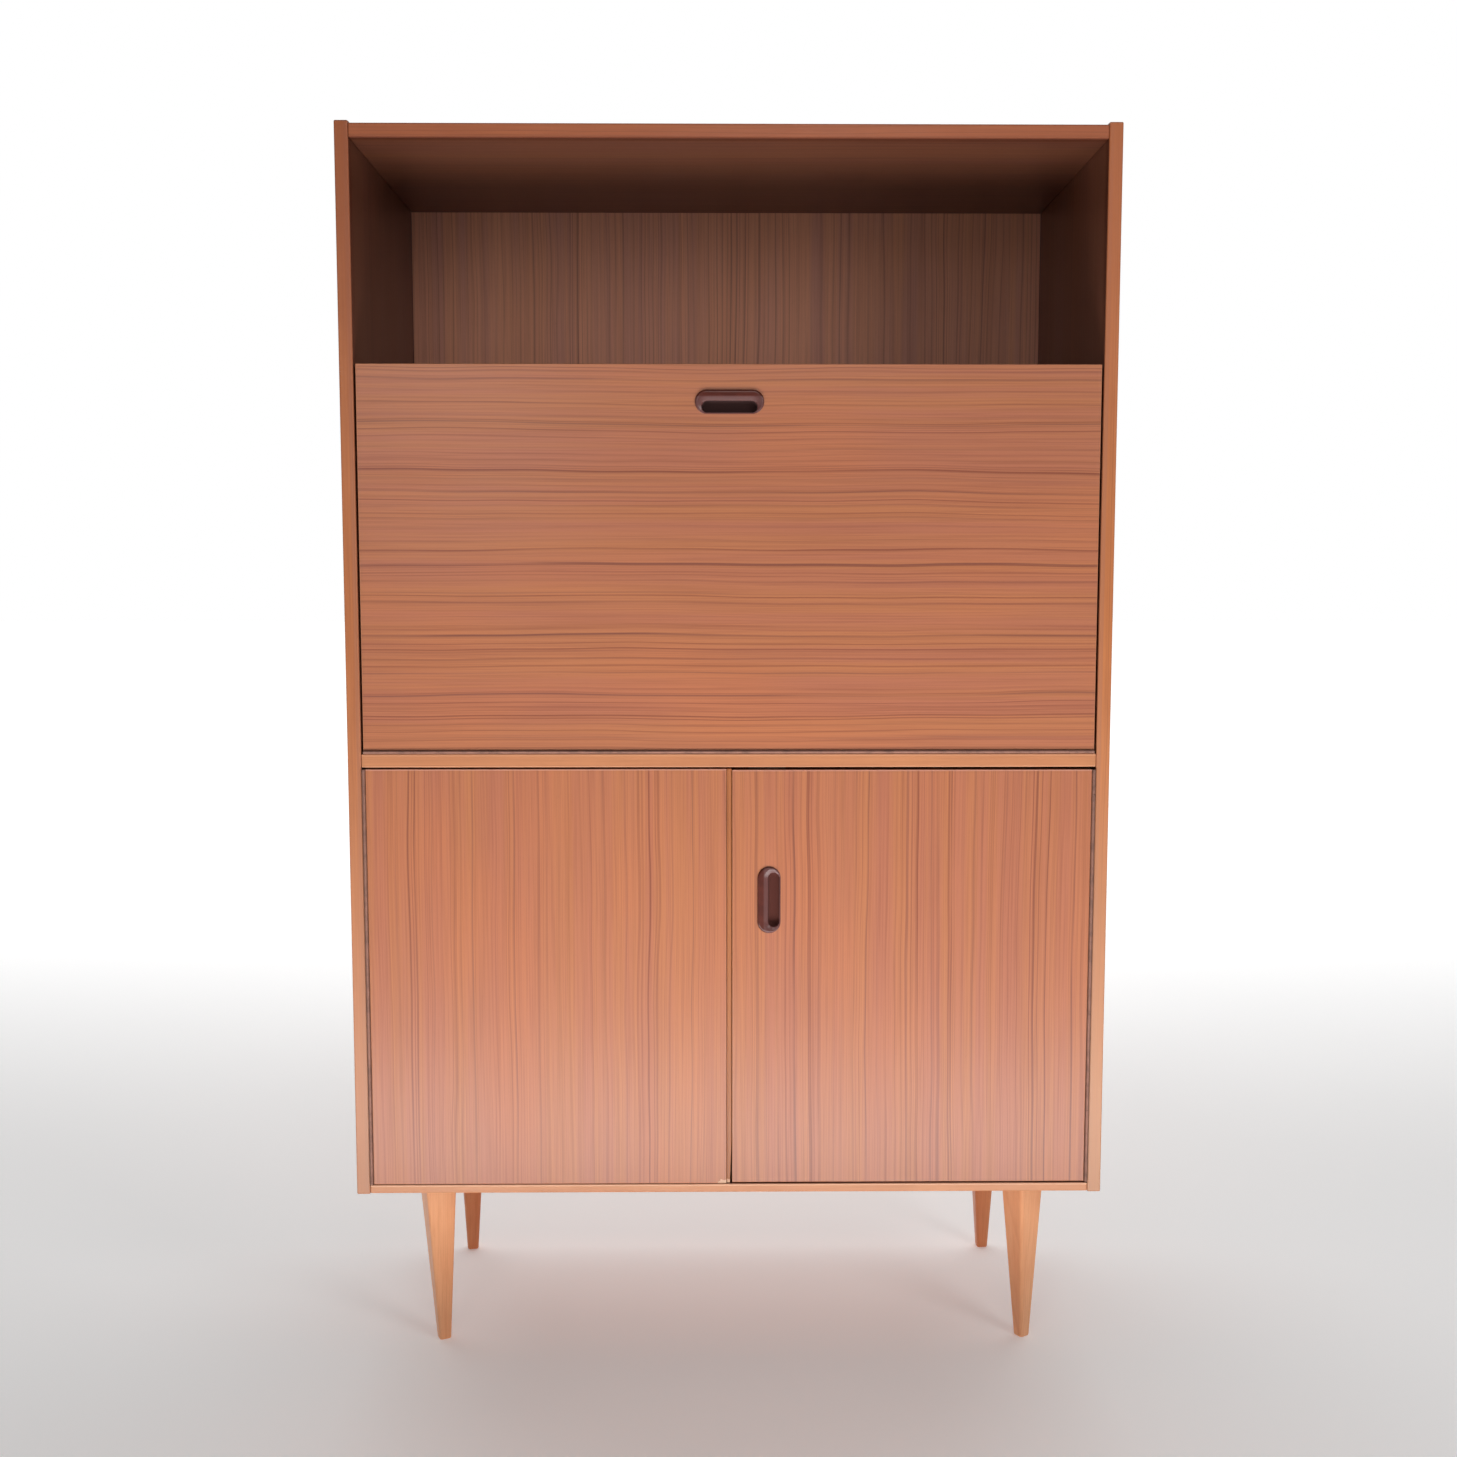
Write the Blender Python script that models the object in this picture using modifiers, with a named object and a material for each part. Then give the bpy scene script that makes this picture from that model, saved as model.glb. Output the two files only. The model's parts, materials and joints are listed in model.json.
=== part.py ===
"""Secretary desk: a teak-laminate cabinet on tapered legs, with an open niche at the top,
a drop-front writing flap on two sliding-rod stays, and a two-door cupboard below.

Frame: +Z up, front faces -Y, origin on the floor under the middle of the cabinet. Metres.
"""
import math

import bmesh
import bpy
from mathutils import Matrix, Vector

# Overall size
WIDTH = 0.900
DEPTH = 0.400
HEIGHT = 1.470
CASE_BOTTOM = 0.210
FRONT = -DEPTH / 2
BACK = DEPTH / 2

# Boards
BOARD = 0.016
BOTTOM_BOARD = 0.010
BACK_BOARD = 0.004
THIN_BOARD = 0.012
LIPPING = 0.004
FIT = 0.0003
EDGE_ROUND = 0.0007
LIPPING_ROUND = 0.0014

# Heights of the horizontal boards
TOP_DROP = 0.003
NICHE_FLOOR_TOP = 1.1955
FLAP_TOP = 1.1977
DESK_FLOOR_TOP = 0.7450
DOOR_TOP = 0.7269
DOOR_BOTTOM = 0.2220
BOTTOM_LIFT = 0.001
BACK_INSET = 0.003
CUPBOARD_SHELF = 0.466
DESK_SHELF = 0.975
DESK_SHELF_FRONT = 0.010

# Inside of the case
SIDE_INNER = WIDTH / 2 - BOARD
INNER = SIDE_INNER - FIT
BACK_FACE = BACK - BACK_INSET - BACK_BOARD
BOARD_REAR = BACK_FACE - FIT
LEAF_FRONT = FRONT + 0.0005
LEAF_REAR = LEAF_FRONT + BOARD
FITTING_FRONT = LEAF_REAR + FIT

# Piano hinges: knuckle, pin and leaf
KNUCKLE_RADIUS = 0.0021
KNUCKLE_BORE = 0.0012
HINGE_PIN_RADIUS = 0.0009
HINGE_LEAF = 0.0008
HINGE_LEAF_OFFSET = 0.0016
HINGE_LEAF_START = 0.0026
HINGE_LEAF_END = 0.0150
HINGE_SETBACK = 0.0023
HINGE_CLEARANCE = 0.0022
KNUCKLE_GAP = 0.0004
TAB = 0.0007
TAB_END = 0.0034
AXIS_FRONT = FRONT - 0.0003
FLAP_KNUCKLES = 29
DOOR_KNUCKLES = 17

# Flap
FLAP_SIDE_GAP = 0.0027
FLAP_AXIS_Z = DESK_FLOOR_TOP + HINGE_SETBACK
FLAP_BOTTOM = FLAP_AXIS_Z + HINGE_CLEARANCE
FLAP_HALF = SIDE_INNER - FLAP_SIDE_GAP
FLAP_PULL_DROP = 0.043

# Doors
DOOR_AXIS_X = SIDE_INNER - HINGE_SETBACK
DOOR_OUTER = DOOR_AXIS_X - HINGE_CLEARANCE
LEFT_DOOR_EDGE = -0.0036
RIGHT_DOOR_EDGE = 0.0032
RIGHT_DOOR_LOW = 0.0011
RIGHT_DOOR_SHORT = 0.0013
STRIP_RIGHT = 0.0026
STRIP_SETBACK = 0.002
STRIP_DEPTH = 0.0140
STRIP_WEAR = 0.0020
STRIP_WEAR_HEIGHT = 0.048
DOOR_PULL_X = 0.047
DOOR_PULL_DROP = 0.157

# Recessed oval pulls
PULL_LENGTH = 0.0804
PULL_WIDTH = 0.0277
PULL_RIM = 0.0012
PULL_PROUD = 0.0024
PULL_ROUND = 0.0019
PULL_ROUND_STEPS = 4
PULL_END_FACETS = 16
PULL_DEPTH = 0.0120
PULL_WALL = 0.0010
PULL_HOOD = 0.0030
PULL_MOUTH_LENGTH = 0.066
PULL_MOUTH_WIDTH = 0.0127
PULL_MOUTH_OFFSET = -0.0052

# Flap stays: the rod pivot and the guide lie at the same distance from the flap's axis, so the
# rod turns through exactly half the flap's angle
STAY_RADIUS = 0.180
STAY_PIVOT_ANGLE = math.radians(7.7)
STAY_GUIDE_ANGLE = math.radians(27.7)
STAY_TILT = (STAY_PIVOT_ANGLE + STAY_GUIDE_ANGLE) / 2
STAY_X = 0.4165
FLAP_OPENING = math.radians(90)
ROD_RADIUS = 0.003
EYE_RADIUS = 0.006
EYE_WIDTH = 0.006
EYE_BORE = 0.0023
BRACKET_PIN_RADIUS = 0.002
BRACKET_PIN_END = 0.4203
BRACKET_BASE = (0.3950, 0.4110)
BRACKET_BASE_DEPTH = 0.002
BRACKET_BASE_HALF = 0.020
BRACKET_LUG = (0.4075, 0.4100)
BRACKET_LUG_HALF = 0.007
COLLAR_RADIUS = 0.0055
COLLAR_LENGTH = 0.005
GUIDE_SIZE = (0.021, 0.014, 0.016)
GUIDE_OUTER = 0.430
GUIDE_BORE = 0.0034
SWIVEL_BORE = 0.0028
SWIVEL_PIN_RADIUS = 0.0025
SWIVEL_PIN_END = 0.4228
SWIVEL_BORE_END = 0.4222
STAY_PLATE_RADIUS = 0.012
STAY_PLATE = 0.0025
GUIDE_TRAVEL_GAP = 0.001
GUIDE_EDGE = 0.0015

# Legs. Each one: place along X, turn about its own axis in degrees, and how far its foot
# stands off along X, because a leg on a stud is never turned quite square to the board
LEGS = {
    "front_left": (-0.3630, 24, 0.0050),
    "front_right": (0.3665, 34, 0.0026),
    "back_left": (-0.3620, 12, 0.0),
    "back_right": (0.3633, 4, 0.0)}
LEG_Y = 0.1375
LEG_TOP_SIDE = 0.0385
LEG_FOOT_SIDE = 0.0150
LEG_CORNER = 0.0038
LEG_FOOT_ROUND = 0.0018
LEG_PLATE_SIDE = 0.060
LEG_PLATE = 0.0022
LEG_PLATE_CORNER = 0.006
STUD_RADIUS = 0.004
STUD_BORE = 0.0045
STUD_IN_LEG = 0.028
STUD_ABOVE_PLATE = 0.006
STUD_END_GAP = 0.001

# Catches, strikes and cleats
CATCH_SIZE = (0.044, 0.020, 0.013)
CATCH_GAP = 0.0006
STRIKE_SIZE = (0.036, 0.001, 0.014)
STRIKE_DROP = 0.003
STRIKE_EDGE = 0.0003
DOOR_CATCH_X = 0.045
CLEAT_WIDTH = 0.012
CLEAT_HEIGHT = 0.014
CLEAT_INSET = 0.020
CUPBOARD_SHELF_SETBACK = 0.005

# Flat faces round a cylinder
FACETS = 16
EYE_FACETS = 20
PLATE_FACETS = 24
KNUCKLE_FACETS = 12
KNUCKLE_BORE_FACETS = 8

# Drawn size of the empties on the joint axes
AXIS_MARK = 0.05

PARTS = "secretary_desk"
CUTTERS = "secretary_desk_cutters"


def clear_scene():
    for obj in list(bpy.data.objects):
        bpy.data.objects.remove(obj, do_unlink=True)


def make_collection(name):
    collection = bpy.data.collections.new(name)
    bpy.context.scene.collection.children.link(collection)
    return collection


def make_material(name, colour, roughness, metallic=0.0):
    material = bpy.data.materials.new(name)
    material.use_nodes = True
    shader = material.node_tree.nodes["Principled BSDF"]
    shader.inputs["Base Color"].default_value = (*colour, 1.0)
    shader.inputs["Roughness"].default_value = roughness
    shader.inputs["Metallic"].default_value = metallic
    material.diffuse_color = (*colour, 1.0)
    return material


def add_part(name, bm, material):
    """Turn a bmesh into a named object of the desk."""
    mesh = bpy.data.meshes.new(name)
    bm.to_mesh(mesh)
    bm.free()
    mesh.materials.append(material)
    obj = bpy.data.objects.new(name, mesh)
    parts.objects.link(obj)
    return obj


def add_cutter(name, bm, like=None):
    """Turn a bmesh into a helper that a Boolean uses, placed as the object it works on."""
    mesh = bpy.data.meshes.new(name)
    bm.to_mesh(mesh)
    bm.free()
    obj = bpy.data.objects.new(name, mesh)
    obj.hide_render = True
    obj.display_type = "WIRE"
    cutters.objects.link(obj)
    if like is not None:
        obj.location = like.location
        obj.rotation_euler = like.rotation_euler
    return obj


def boolean(obj, tool, operation):
    modifier = obj.modifiers.new(operation.lower() + "_" + tool.name, "BOOLEAN")
    modifier.operation = operation
    modifier.object = tool
    modifier.solver = "EXACT"


def add_bevel(obj, width, segments=2):
    modifier = obj.modifiers.new("edge_round", "BEVEL")
    modifier.width = width
    modifier.segments = segments
    modifier.limit_method = "ANGLE"


def smooth(obj, angle=35):
    obj.data.shade_smooth()
    obj.data.set_sharp_from_angle(angle=math.radians(angle))


def cube_into(bm, low, high):
    """Add a box between two corners to a bmesh and return its vertices."""
    low = Vector(low)
    high = Vector(high)
    size = high - low
    scale = Matrix.Diagonal((*size, 1.0))
    move = Matrix.Translation((low + high) / 2)
    return bmesh.ops.create_cube(bm, size=1.0, matrix=move @ scale)["verts"]


def cylinder_into(bm, start, end, radius, segments):
    """Add a cylinder between two points to a bmesh."""
    start = Vector(start)
    end = Vector(end)
    along = end - start
    turn = along.to_track_quat("Z", "Y").to_matrix().to_4x4()
    bmesh.ops.create_cone(
        bm, cap_ends=True, segments=segments, radius1=radius, radius2=radius,
        depth=along.length, matrix=Matrix.Translation((start + end) / 2) @ turn)


def make_box(low, high):
    bm = bmesh.new()
    cube_into(bm, low, high)
    return bm


def make_cylinder(start, end, radius, segments=FACETS):
    bm = bmesh.new()
    cylinder_into(bm, start, end, radius, segments)
    return bm


def add_board(name, low, high, material, edge=EDGE_ROUND):
    """A board with slightly eased edges, between two corners."""
    obj = add_part(name, make_box(low, high), material)
    add_bevel(obj, edge)
    return obj


def side_box(sign, x_near, x_far, low, high):
    """Corners of a box on the left (-1) or right (+1), from distances off the middle plane."""
    xs = sorted((sign * x_near, sign * x_far))
    return (xs[0], *low), (xs[1], *high)


def make_axis(name, position):
    """An empty on a joint's axis, which the pieces of that moving body hang from."""
    empty = bpy.data.objects.new(name, None)
    empty.location = position
    empty.empty_display_size = AXIS_MARK
    parts.objects.link(empty)
    return empty


def hang_from(empty, *objects):
    for obj in objects:
        obj.parent = empty
        obj.matrix_parent_inverse = Matrix.Translation(empty.location).inverted()


def stadium_ring(length, width, y, offset_z=0.0):
    """Points round an oval with straight sides and round ends, long along X, at a depth y."""
    radius = width / 2
    straight = length / 2 - radius
    points = []
    for end, first_angle in ((1, -math.pi / 2), (-1, math.pi / 2)):
        for step in range(PULL_END_FACETS + 1):
            angle = first_angle + math.pi * step / PULL_END_FACETS
            points.append((end * straight + radius * math.cos(angle), y,
                           radius * math.sin(angle) + offset_z))
    return points


def make_loft(rings):
    """A closed solid skinned over rings of equally many points, capped at both ends."""
    bm = bmesh.new()
    loops = [[bm.verts.new(point) for point in ring] for ring in rings]
    for near, far in zip(loops, loops[1:]):
        for index in range(len(near)):
            following = (index + 1) % len(near)
            bm.faces.new((near[index], near[following], far[following], far[index]))
    bm.faces.new(loops[0])
    bm.faces.new(loops[-1])
    bmesh.ops.recalc_face_normals(bm, faces=bm.faces)
    return bm


def build_case(wood, lipping_wood, back_wood):
    """Sides, top, shelves, bottom, back and the solid lippings on the front edges."""
    lipped_front = FRONT + LIPPING + FIT
    for side, sign in (("left", -1), ("right", 1)):
        low, high = side_box(sign, SIDE_INNER, WIDTH / 2,
                             (lipped_front, CASE_BOTTOM), (BACK, HEIGHT))
        add_board(side + "_side_panel", low, high, wood)
        low, high = side_box(sign, SIDE_INNER, WIDTH / 2,
                             (FRONT, CASE_BOTTOM), (FRONT + LIPPING, HEIGHT))
        add_board(side + "_side_lipping", low, high, lipping_wood, LIPPING_ROUND)

    top_high = HEIGHT - TOP_DROP
    bottom_low = CASE_BOTTOM + BOTTOM_LIFT
    lipped_boards = (
        ("top", "top_panel", top_high - BOARD, top_high),
        ("desk_floor", "desk_floor", DESK_FLOOR_TOP - BOARD, DESK_FLOOR_TOP),
        ("bottom", "bottom_panel", bottom_low, bottom_low + BOTTOM_BOARD))
    for stem, board_name, low_z, high_z in lipped_boards:
        board = add_board(board_name, (-INNER, lipped_front, low_z),
                          (INNER, BOARD_REAR, high_z), wood)
        add_board(stem + "_lipping", (-INNER, FRONT, low_z),
                  (INNER, FRONT + LIPPING, high_z), lipping_wood, LIPPING_ROUND)
        if stem == "bottom":
            bore_bottom(board, low_z)

    add_board("niche_floor", (-INNER, FITTING_FRONT, NICHE_FLOOR_TOP - BOARD),
              (INNER, BOARD_REAR, NICHE_FLOOR_TOP), wood)
    add_board("back_panel", (-INNER, BACK_FACE, bottom_low),
              (INNER, BACK_FACE + BACK_BOARD, top_high), back_wood)


def bore_bottom(board, low_z):
    """Blind holes in the underside that clear the ends of the leg studs."""
    bm = bmesh.new()
    depth = STUD_ABOVE_PLATE + FIT + STUD_END_GAP
    for name, (x, _, _) in LEGS.items():
        y = leg_y(name)
        cylinder_into(bm, (x, y, low_z - STUD_END_GAP), (x, y, low_z + depth),
                      STUD_BORE, FACETS)
    boolean(board, add_cutter("stud_holes", bm), "DIFFERENCE")


def build_shelves(wood, cleat_wood):
    """The cupboard shelf and the desk shelf, each resting on two cleats."""
    shelves = (
        ("cupboard_shelf", CUPBOARD_SHELF, BOARD, LEAF_REAR + CUPBOARD_SHELF_SETBACK),
        ("desk_shelf", DESK_SHELF, THIN_BOARD, DESK_SHELF_FRONT))
    for name, low_z, thickness, front in shelves:
        add_board(name, (-INNER, front, low_z), (INNER, BOARD_REAR, low_z + thickness), wood)
        for side, sign in (("left", -1), ("right", 1)):
            low, high = side_box(
                sign, INNER - CLEAT_WIDTH, INNER,
                (front + CLEAT_INSET, low_z - FIT - CLEAT_HEIGHT),
                (BOARD_REAR - FIT, low_z - FIT))
            add_board(f"{side}_{name}_cleat", low, high, cleat_wood)


def hinge_leaf(name, length, count, offset_sign, first, location, turn, steel):
    """One leaf of a piano hinge: a strip with every second knuckle rolled round the pin.

    Local X runs along the pin, the strip reaches back along +Y, and offset_sign says on which
    side of the pin (+Z or -Z) it lies.
    """
    half = length / 2
    middle = offset_sign * HINGE_LEAF_OFFSET
    leaf = add_part(name, make_box((-half, HINGE_LEAF_START, middle - HINGE_LEAF / 2),
                                   (half, HINGE_LEAF_END, middle + HINGE_LEAF / 2)), steel)
    leaf.location = location
    leaf.rotation_euler = (0, turn, 0)
    tabs = bmesh.new()
    knuckles = bmesh.new()
    pitch = length / count
    for index in range(first, count, 2):
        start = -half + index * pitch + KNUCKLE_GAP / 2
        end = start + pitch - KNUCKLE_GAP
        cube_into(tabs, (start + KNUCKLE_GAP, 0, middle - TAB / 2),
                  (end - KNUCKLE_GAP, TAB_END, middle + TAB / 2))
        cylinder_into(knuckles, (start, 0, 0), (end, 0, 0), KNUCKLE_RADIUS, KNUCKLE_FACETS)
    boolean(leaf, add_cutter(name + "_tabs", tabs, leaf), "UNION")
    boolean(leaf, add_cutter(name + "_knuckles", knuckles, leaf), "UNION")
    bore = make_cylinder((-half - KNUCKLE_RADIUS, 0, 0), (half + KNUCKLE_RADIUS, 0, 0),
                         KNUCKLE_BORE, KNUCKLE_BORE_FACETS)
    boolean(leaf, add_cutter(name + "_bore", bore, leaf), "DIFFERENCE")
    return leaf


def piano_hinge(stem, length, count, location, turn, steel):
    """A whole piano hinge; returns the leaf that moves."""
    hinge_leaf(stem + "_hinge_fixed_leaf", length, count, -1, 0, location, turn, steel)
    moving = hinge_leaf(stem + "_hinge_moving_leaf", length, count, 1, 1, location, turn, steel)
    pin = add_part(stem + "_hinge_pin", make_cylinder(
        (-length / 2, 0, 0), (length / 2, 0, 0), HINGE_PIN_RADIUS, KNUCKLE_FACETS), steel)
    pin.location = location
    pin.rotation_euler = (0, turn, 0)
    smooth(pin)
    return moving


def rout_for_pull(panel, x, z, turn):
    """The oval pocket in the face of a panel that a pull sits in."""
    length = PULL_LENGTH - 2 * PULL_RIM + 2 * FIT
    width = PULL_WIDTH - 2 * PULL_RIM + 2 * FIT
    bm = make_loft((stadium_ring(length, width, -PULL_PROUD),
                    stadium_ring(length, width, PULL_DEPTH + FIT)))
    pocket = add_cutter(panel.name + "_pull_pocket", bm)
    pocket.location = (x, LEAF_FRONT, z)
    pocket.rotation_euler = (0, turn, 0)
    boolean(panel, pocket, "DIFFERENCE")


def add_pull(name, x, z, turn, plastic):
    """An oval recessed pull: a rim on the panel, a hood over one half, a finger pocket below it.

    Local X is its length, -Y its front and +Z the side with the hood.
    """
    body = (PULL_LENGTH - 2 * PULL_RIM, PULL_WIDTH - 2 * PULL_RIM)
    cavity = [size - 2 * PULL_WALL for size in body]
    mouth = (PULL_MOUTH_LENGTH, PULL_MOUTH_WIDTH)
    hood_back = PULL_HOOD - PULL_PROUD
    rings = [stadium_ring(*body, PULL_DEPTH),
             stadium_ring(*body, -FIT),
             stadium_ring(PULL_LENGTH, PULL_WIDTH, -FIT)]
    for step in range(PULL_ROUND_STEPS + 1):
        angle = math.pi / 2 * step / PULL_ROUND_STEPS
        inset = 2 * PULL_ROUND * (1 - math.cos(angle))
        rings.append(stadium_ring(PULL_LENGTH - inset, PULL_WIDTH - inset,
                                  PULL_ROUND * (1 - math.sin(angle)) - PULL_PROUD))
    rings += [stadium_ring(*mouth, -PULL_PROUD, PULL_MOUTH_OFFSET),
              stadium_ring(*mouth, hood_back, PULL_MOUTH_OFFSET),
              stadium_ring(*cavity, hood_back),
              stadium_ring(*cavity, PULL_DEPTH - PULL_WALL)]
    pull = add_part(name, make_loft(rings), plastic)
    pull.location = (x, LEAF_FRONT, z)
    pull.rotation_euler = (0, turn, 0)
    return pull


def add_catch(name, x, top_z, body):
    """A magnetic catch under a board."""
    width, depth, height = CATCH_SIZE
    front = FITTING_FRONT + STRIKE_SIZE[1] + CATCH_GAP
    return add_board(name, (x - width / 2, front, top_z - FIT - height),
                     (x + width / 2, front + depth, top_z - FIT), body)


def add_strike(name, x, top_z, steel):
    """The steel plate on the inside of a flap or door that the catch holds."""
    width, depth, height = STRIKE_SIZE
    high_z = top_z - STRIKE_DROP
    return add_board(name, (x - width / 2, FITTING_FRONT, high_z - height),
                     (x + width / 2, FITTING_FRONT + depth, high_z), steel, STRIKE_EDGE)


def build_flap(materials):
    """The drop-front writing flap with its pull, hinge and strike."""
    axis = (0, AXIS_FRONT, FLAP_AXIS_Z)
    empty = make_axis("flap_axis", axis)
    panel = add_board("flap_panel", (-FLAP_HALF, LEAF_FRONT, FLAP_BOTTOM),
                      (FLAP_HALF, LEAF_REAR, FLAP_TOP), materials["flap"])
    pull_z = FLAP_TOP - FLAP_PULL_DROP
    rout_for_pull(panel, 0, pull_z, 0)
    pull = add_pull("flap_pull", 0, pull_z, 0, materials["pull"])
    strike = add_strike("flap_strike", 0, NICHE_FLOOR_TOP - BOARD, materials["steel"])
    leaf = piano_hinge("flap", 2 * FLAP_HALF, FLAP_KNUCKLES, axis, 0, materials["hinge"])
    add_catch("flap_catch", 0, NICHE_FLOOR_TOP - BOARD, materials["catch"])
    hang_from(empty, panel, pull, strike)
    hang_from(empty, leaf)
    for side, sign in (("left", -1), ("right", 1)):
        hang_from(empty, add_stay_bracket(side, sign, materials["steel"]))


def stay_point(angle):
    """The (y, z) of a point on the stay circle at an angle behind the vertical."""
    return (AXIS_FRONT + STAY_RADIUS * math.sin(angle),
            FLAP_AXIS_Z + STAY_RADIUS * math.cos(angle))


def add_stay_bracket(side, sign, steel):
    """The lug on the flap's inner face that carries a rod's pivot pin."""
    pivot_y, pivot_z = stay_point(STAY_PIVOT_ANGLE)
    base_rear = FITTING_FRONT + BRACKET_BASE_DEPTH
    low, high = side_box(sign, *BRACKET_BASE, (FITTING_FRONT, pivot_z - BRACKET_BASE_HALF),
                         (base_rear, pivot_z + BRACKET_BASE_HALF))
    bracket = add_part(side + "_stay_bracket", make_box(low, high), steel)
    low, high = side_box(sign, *BRACKET_LUG,
                         (base_rear - BRACKET_BASE_DEPTH / 2, pivot_z - BRACKET_LUG_HALF),
                         (pivot_y + EYE_RADIUS, pivot_z + BRACKET_LUG_HALF))
    boolean(bracket, add_cutter(side + "_bracket_lug", make_box(low, high)), "UNION")
    pin_start = sum(BRACKET_LUG) / 2
    pin = make_cylinder((sign * pin_start, pivot_y, pivot_z),
                        (sign * BRACKET_PIN_END, pivot_y, pivot_z), BRACKET_PIN_RADIUS)
    boolean(bracket, add_cutter(side + "_bracket_pin", pin), "UNION")
    return bracket


def add_stay_rod(side, sign, steel):
    """A steel rod with an eye at the flap end and a stop collar at its tail."""
    pivot_y, pivot_z = stay_point(STAY_PIVOT_ANGLE)
    span = STAY_GUIDE_ANGLE - STAY_PIVOT_ANGLE + FLAP_OPENING
    open_reach = 2 * STAY_RADIUS * math.sin(span / 2)
    collar_start = open_reach + GUIDE_SIZE[1] / 2 + GUIDE_TRAVEL_GAP
    collar_end = collar_start + COLLAR_LENGTH
    rod = add_part(side + "_stay_rod", make_cylinder(
        (0, EYE_RADIUS / 2, 0), (0, collar_end - COLLAR_LENGTH / 2, 0), ROD_RADIUS), steel)
    rod.location = (sign * STAY_X, pivot_y, pivot_z)
    rod.rotation_euler = (-STAY_TILT, 0, 0)
    steps = (
        ("_eye", make_cylinder((-EYE_WIDTH / 2, 0, 0), (EYE_WIDTH / 2, 0, 0), EYE_RADIUS,
                               EYE_FACETS), "UNION"),
        ("_collar", make_cylinder((0, collar_start, 0), (0, collar_end, 0), COLLAR_RADIUS),
         "UNION"),
        ("_eye_bore", make_cylinder((-EYE_WIDTH, 0, 0), (EYE_WIDTH, 0, 0), EYE_BORE),
         "DIFFERENCE"))
    for suffix, bm, operation in steps:
        boolean(rod, add_cutter(side + "_rod" + suffix, bm, rod), operation)
    return rod


def add_stay_guide(side, sign, metal):
    """The swivelling block on the cabinet side that the rod slides through."""
    guide_y, guide_z = stay_point(STAY_GUIDE_ANGLE)
    width, length, height = GUIDE_SIZE
    outer = sign * (GUIDE_OUTER - STAY_X)
    inner = outer - sign * width
    xs = sorted((inner, outer))
    guide = add_part(side + "_stay_guide", make_box(
        (xs[0], -length / 2, -height / 2), (xs[1], length / 2, height / 2)), metal)
    guide.location = (sign * STAY_X, guide_y, guide_z)
    guide.rotation_euler = (-STAY_TILT, 0, 0)
    add_bevel(guide, GUIDE_EDGE)
    rod_bore = make_cylinder((0, -length, 0), (0, length, 0), GUIDE_BORE)
    boolean(guide, add_cutter(side + "_guide_bore", rod_bore, guide), "DIFFERENCE")
    pin_bore = make_cylinder((sign * (SWIVEL_BORE_END - STAY_X), 0, 0),
                             (outer + sign * SWIVEL_PIN_RADIUS, 0, 0), SWIVEL_BORE)
    boolean(guide, add_cutter(side + "_swivel_bore", pin_bore, guide), "DIFFERENCE")
    return guide


def add_stay_plate(side, sign, steel):
    """The round plate on the cabinet side with the pin that the guide swivels on."""
    guide_y, guide_z = stay_point(STAY_GUIDE_ANGLE)
    plate = add_part(side + "_stay_plate", make_cylinder(
        (sign * (INNER - STAY_PLATE), guide_y, guide_z), (sign * INNER, guide_y, guide_z),
        STAY_PLATE_RADIUS, PLATE_FACETS), steel)
    pin = make_cylinder((sign * SWIVEL_PIN_END, guide_y, guide_z),
                        (sign * (INNER - STAY_PLATE / 2), guide_y, guide_z),
                        SWIVEL_PIN_RADIUS)
    boolean(plate, add_cutter(side + "_swivel_pin", pin), "UNION")


def build_stays(materials):
    for side, sign in (("left", -1), ("right", 1)):
        rod = add_stay_rod(side, sign, materials["chrome"])
        guide = add_stay_guide(side, sign, materials["steel"])
        add_stay_plate(side, sign, materials["steel"])
        smooth(rod)
        smooth(guide)


def build_doors(materials):
    """Two doors on full-height piano hinges, with the meeting strip on the left one."""
    catch_z = DESK_FLOOR_TOP - BOARD
    doors = (("left", -1, LEFT_DOOR_EDGE, DOOR_BOTTOM, DOOR_TOP),
             ("right", 1, RIGHT_DOOR_EDGE, DOOR_BOTTOM + RIGHT_DOOR_SHORT,
              DOOR_TOP - RIGHT_DOOR_LOW))
    for side, sign, edge, low_z, high_z in doors:
        axis = (sign * DOOR_AXIS_X, AXIS_FRONT, (low_z + high_z) / 2)
        empty = make_axis(side + "_door_axis", axis)
        xs = sorted((edge, sign * DOOR_OUTER))
        panel = add_board(side + "_door_panel", (xs[0], LEAF_FRONT, low_z),
                          (xs[1], LEAF_REAR, high_z), materials["door"])
        leaf = piano_hinge(side + "_door", high_z - low_z, DOOR_KNUCKLES, axis,
                           -sign * math.pi / 2, materials["hinge"])
        strike = add_strike(side + "_door_strike", sign * DOOR_CATCH_X, catch_z,
                            materials["steel"])
        add_catch(side + "_door_catch", sign * DOOR_CATCH_X, catch_z, materials["catch"])
        hang_from(empty, panel, strike, leaf)
        if side == "right":
            pull_z = DOOR_TOP - DOOR_PULL_DROP
            rout_for_pull(panel, DOOR_PULL_X, pull_z, -math.pi / 2)
            hang_from(empty, add_pull("right_door_pull", DOOR_PULL_X, pull_z, -math.pi / 2,
                                      materials["pull"]))
        else:
            hang_from(empty, add_meeting_strip(edge + FIT, low_z, high_z, materials["lipping"]))


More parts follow.
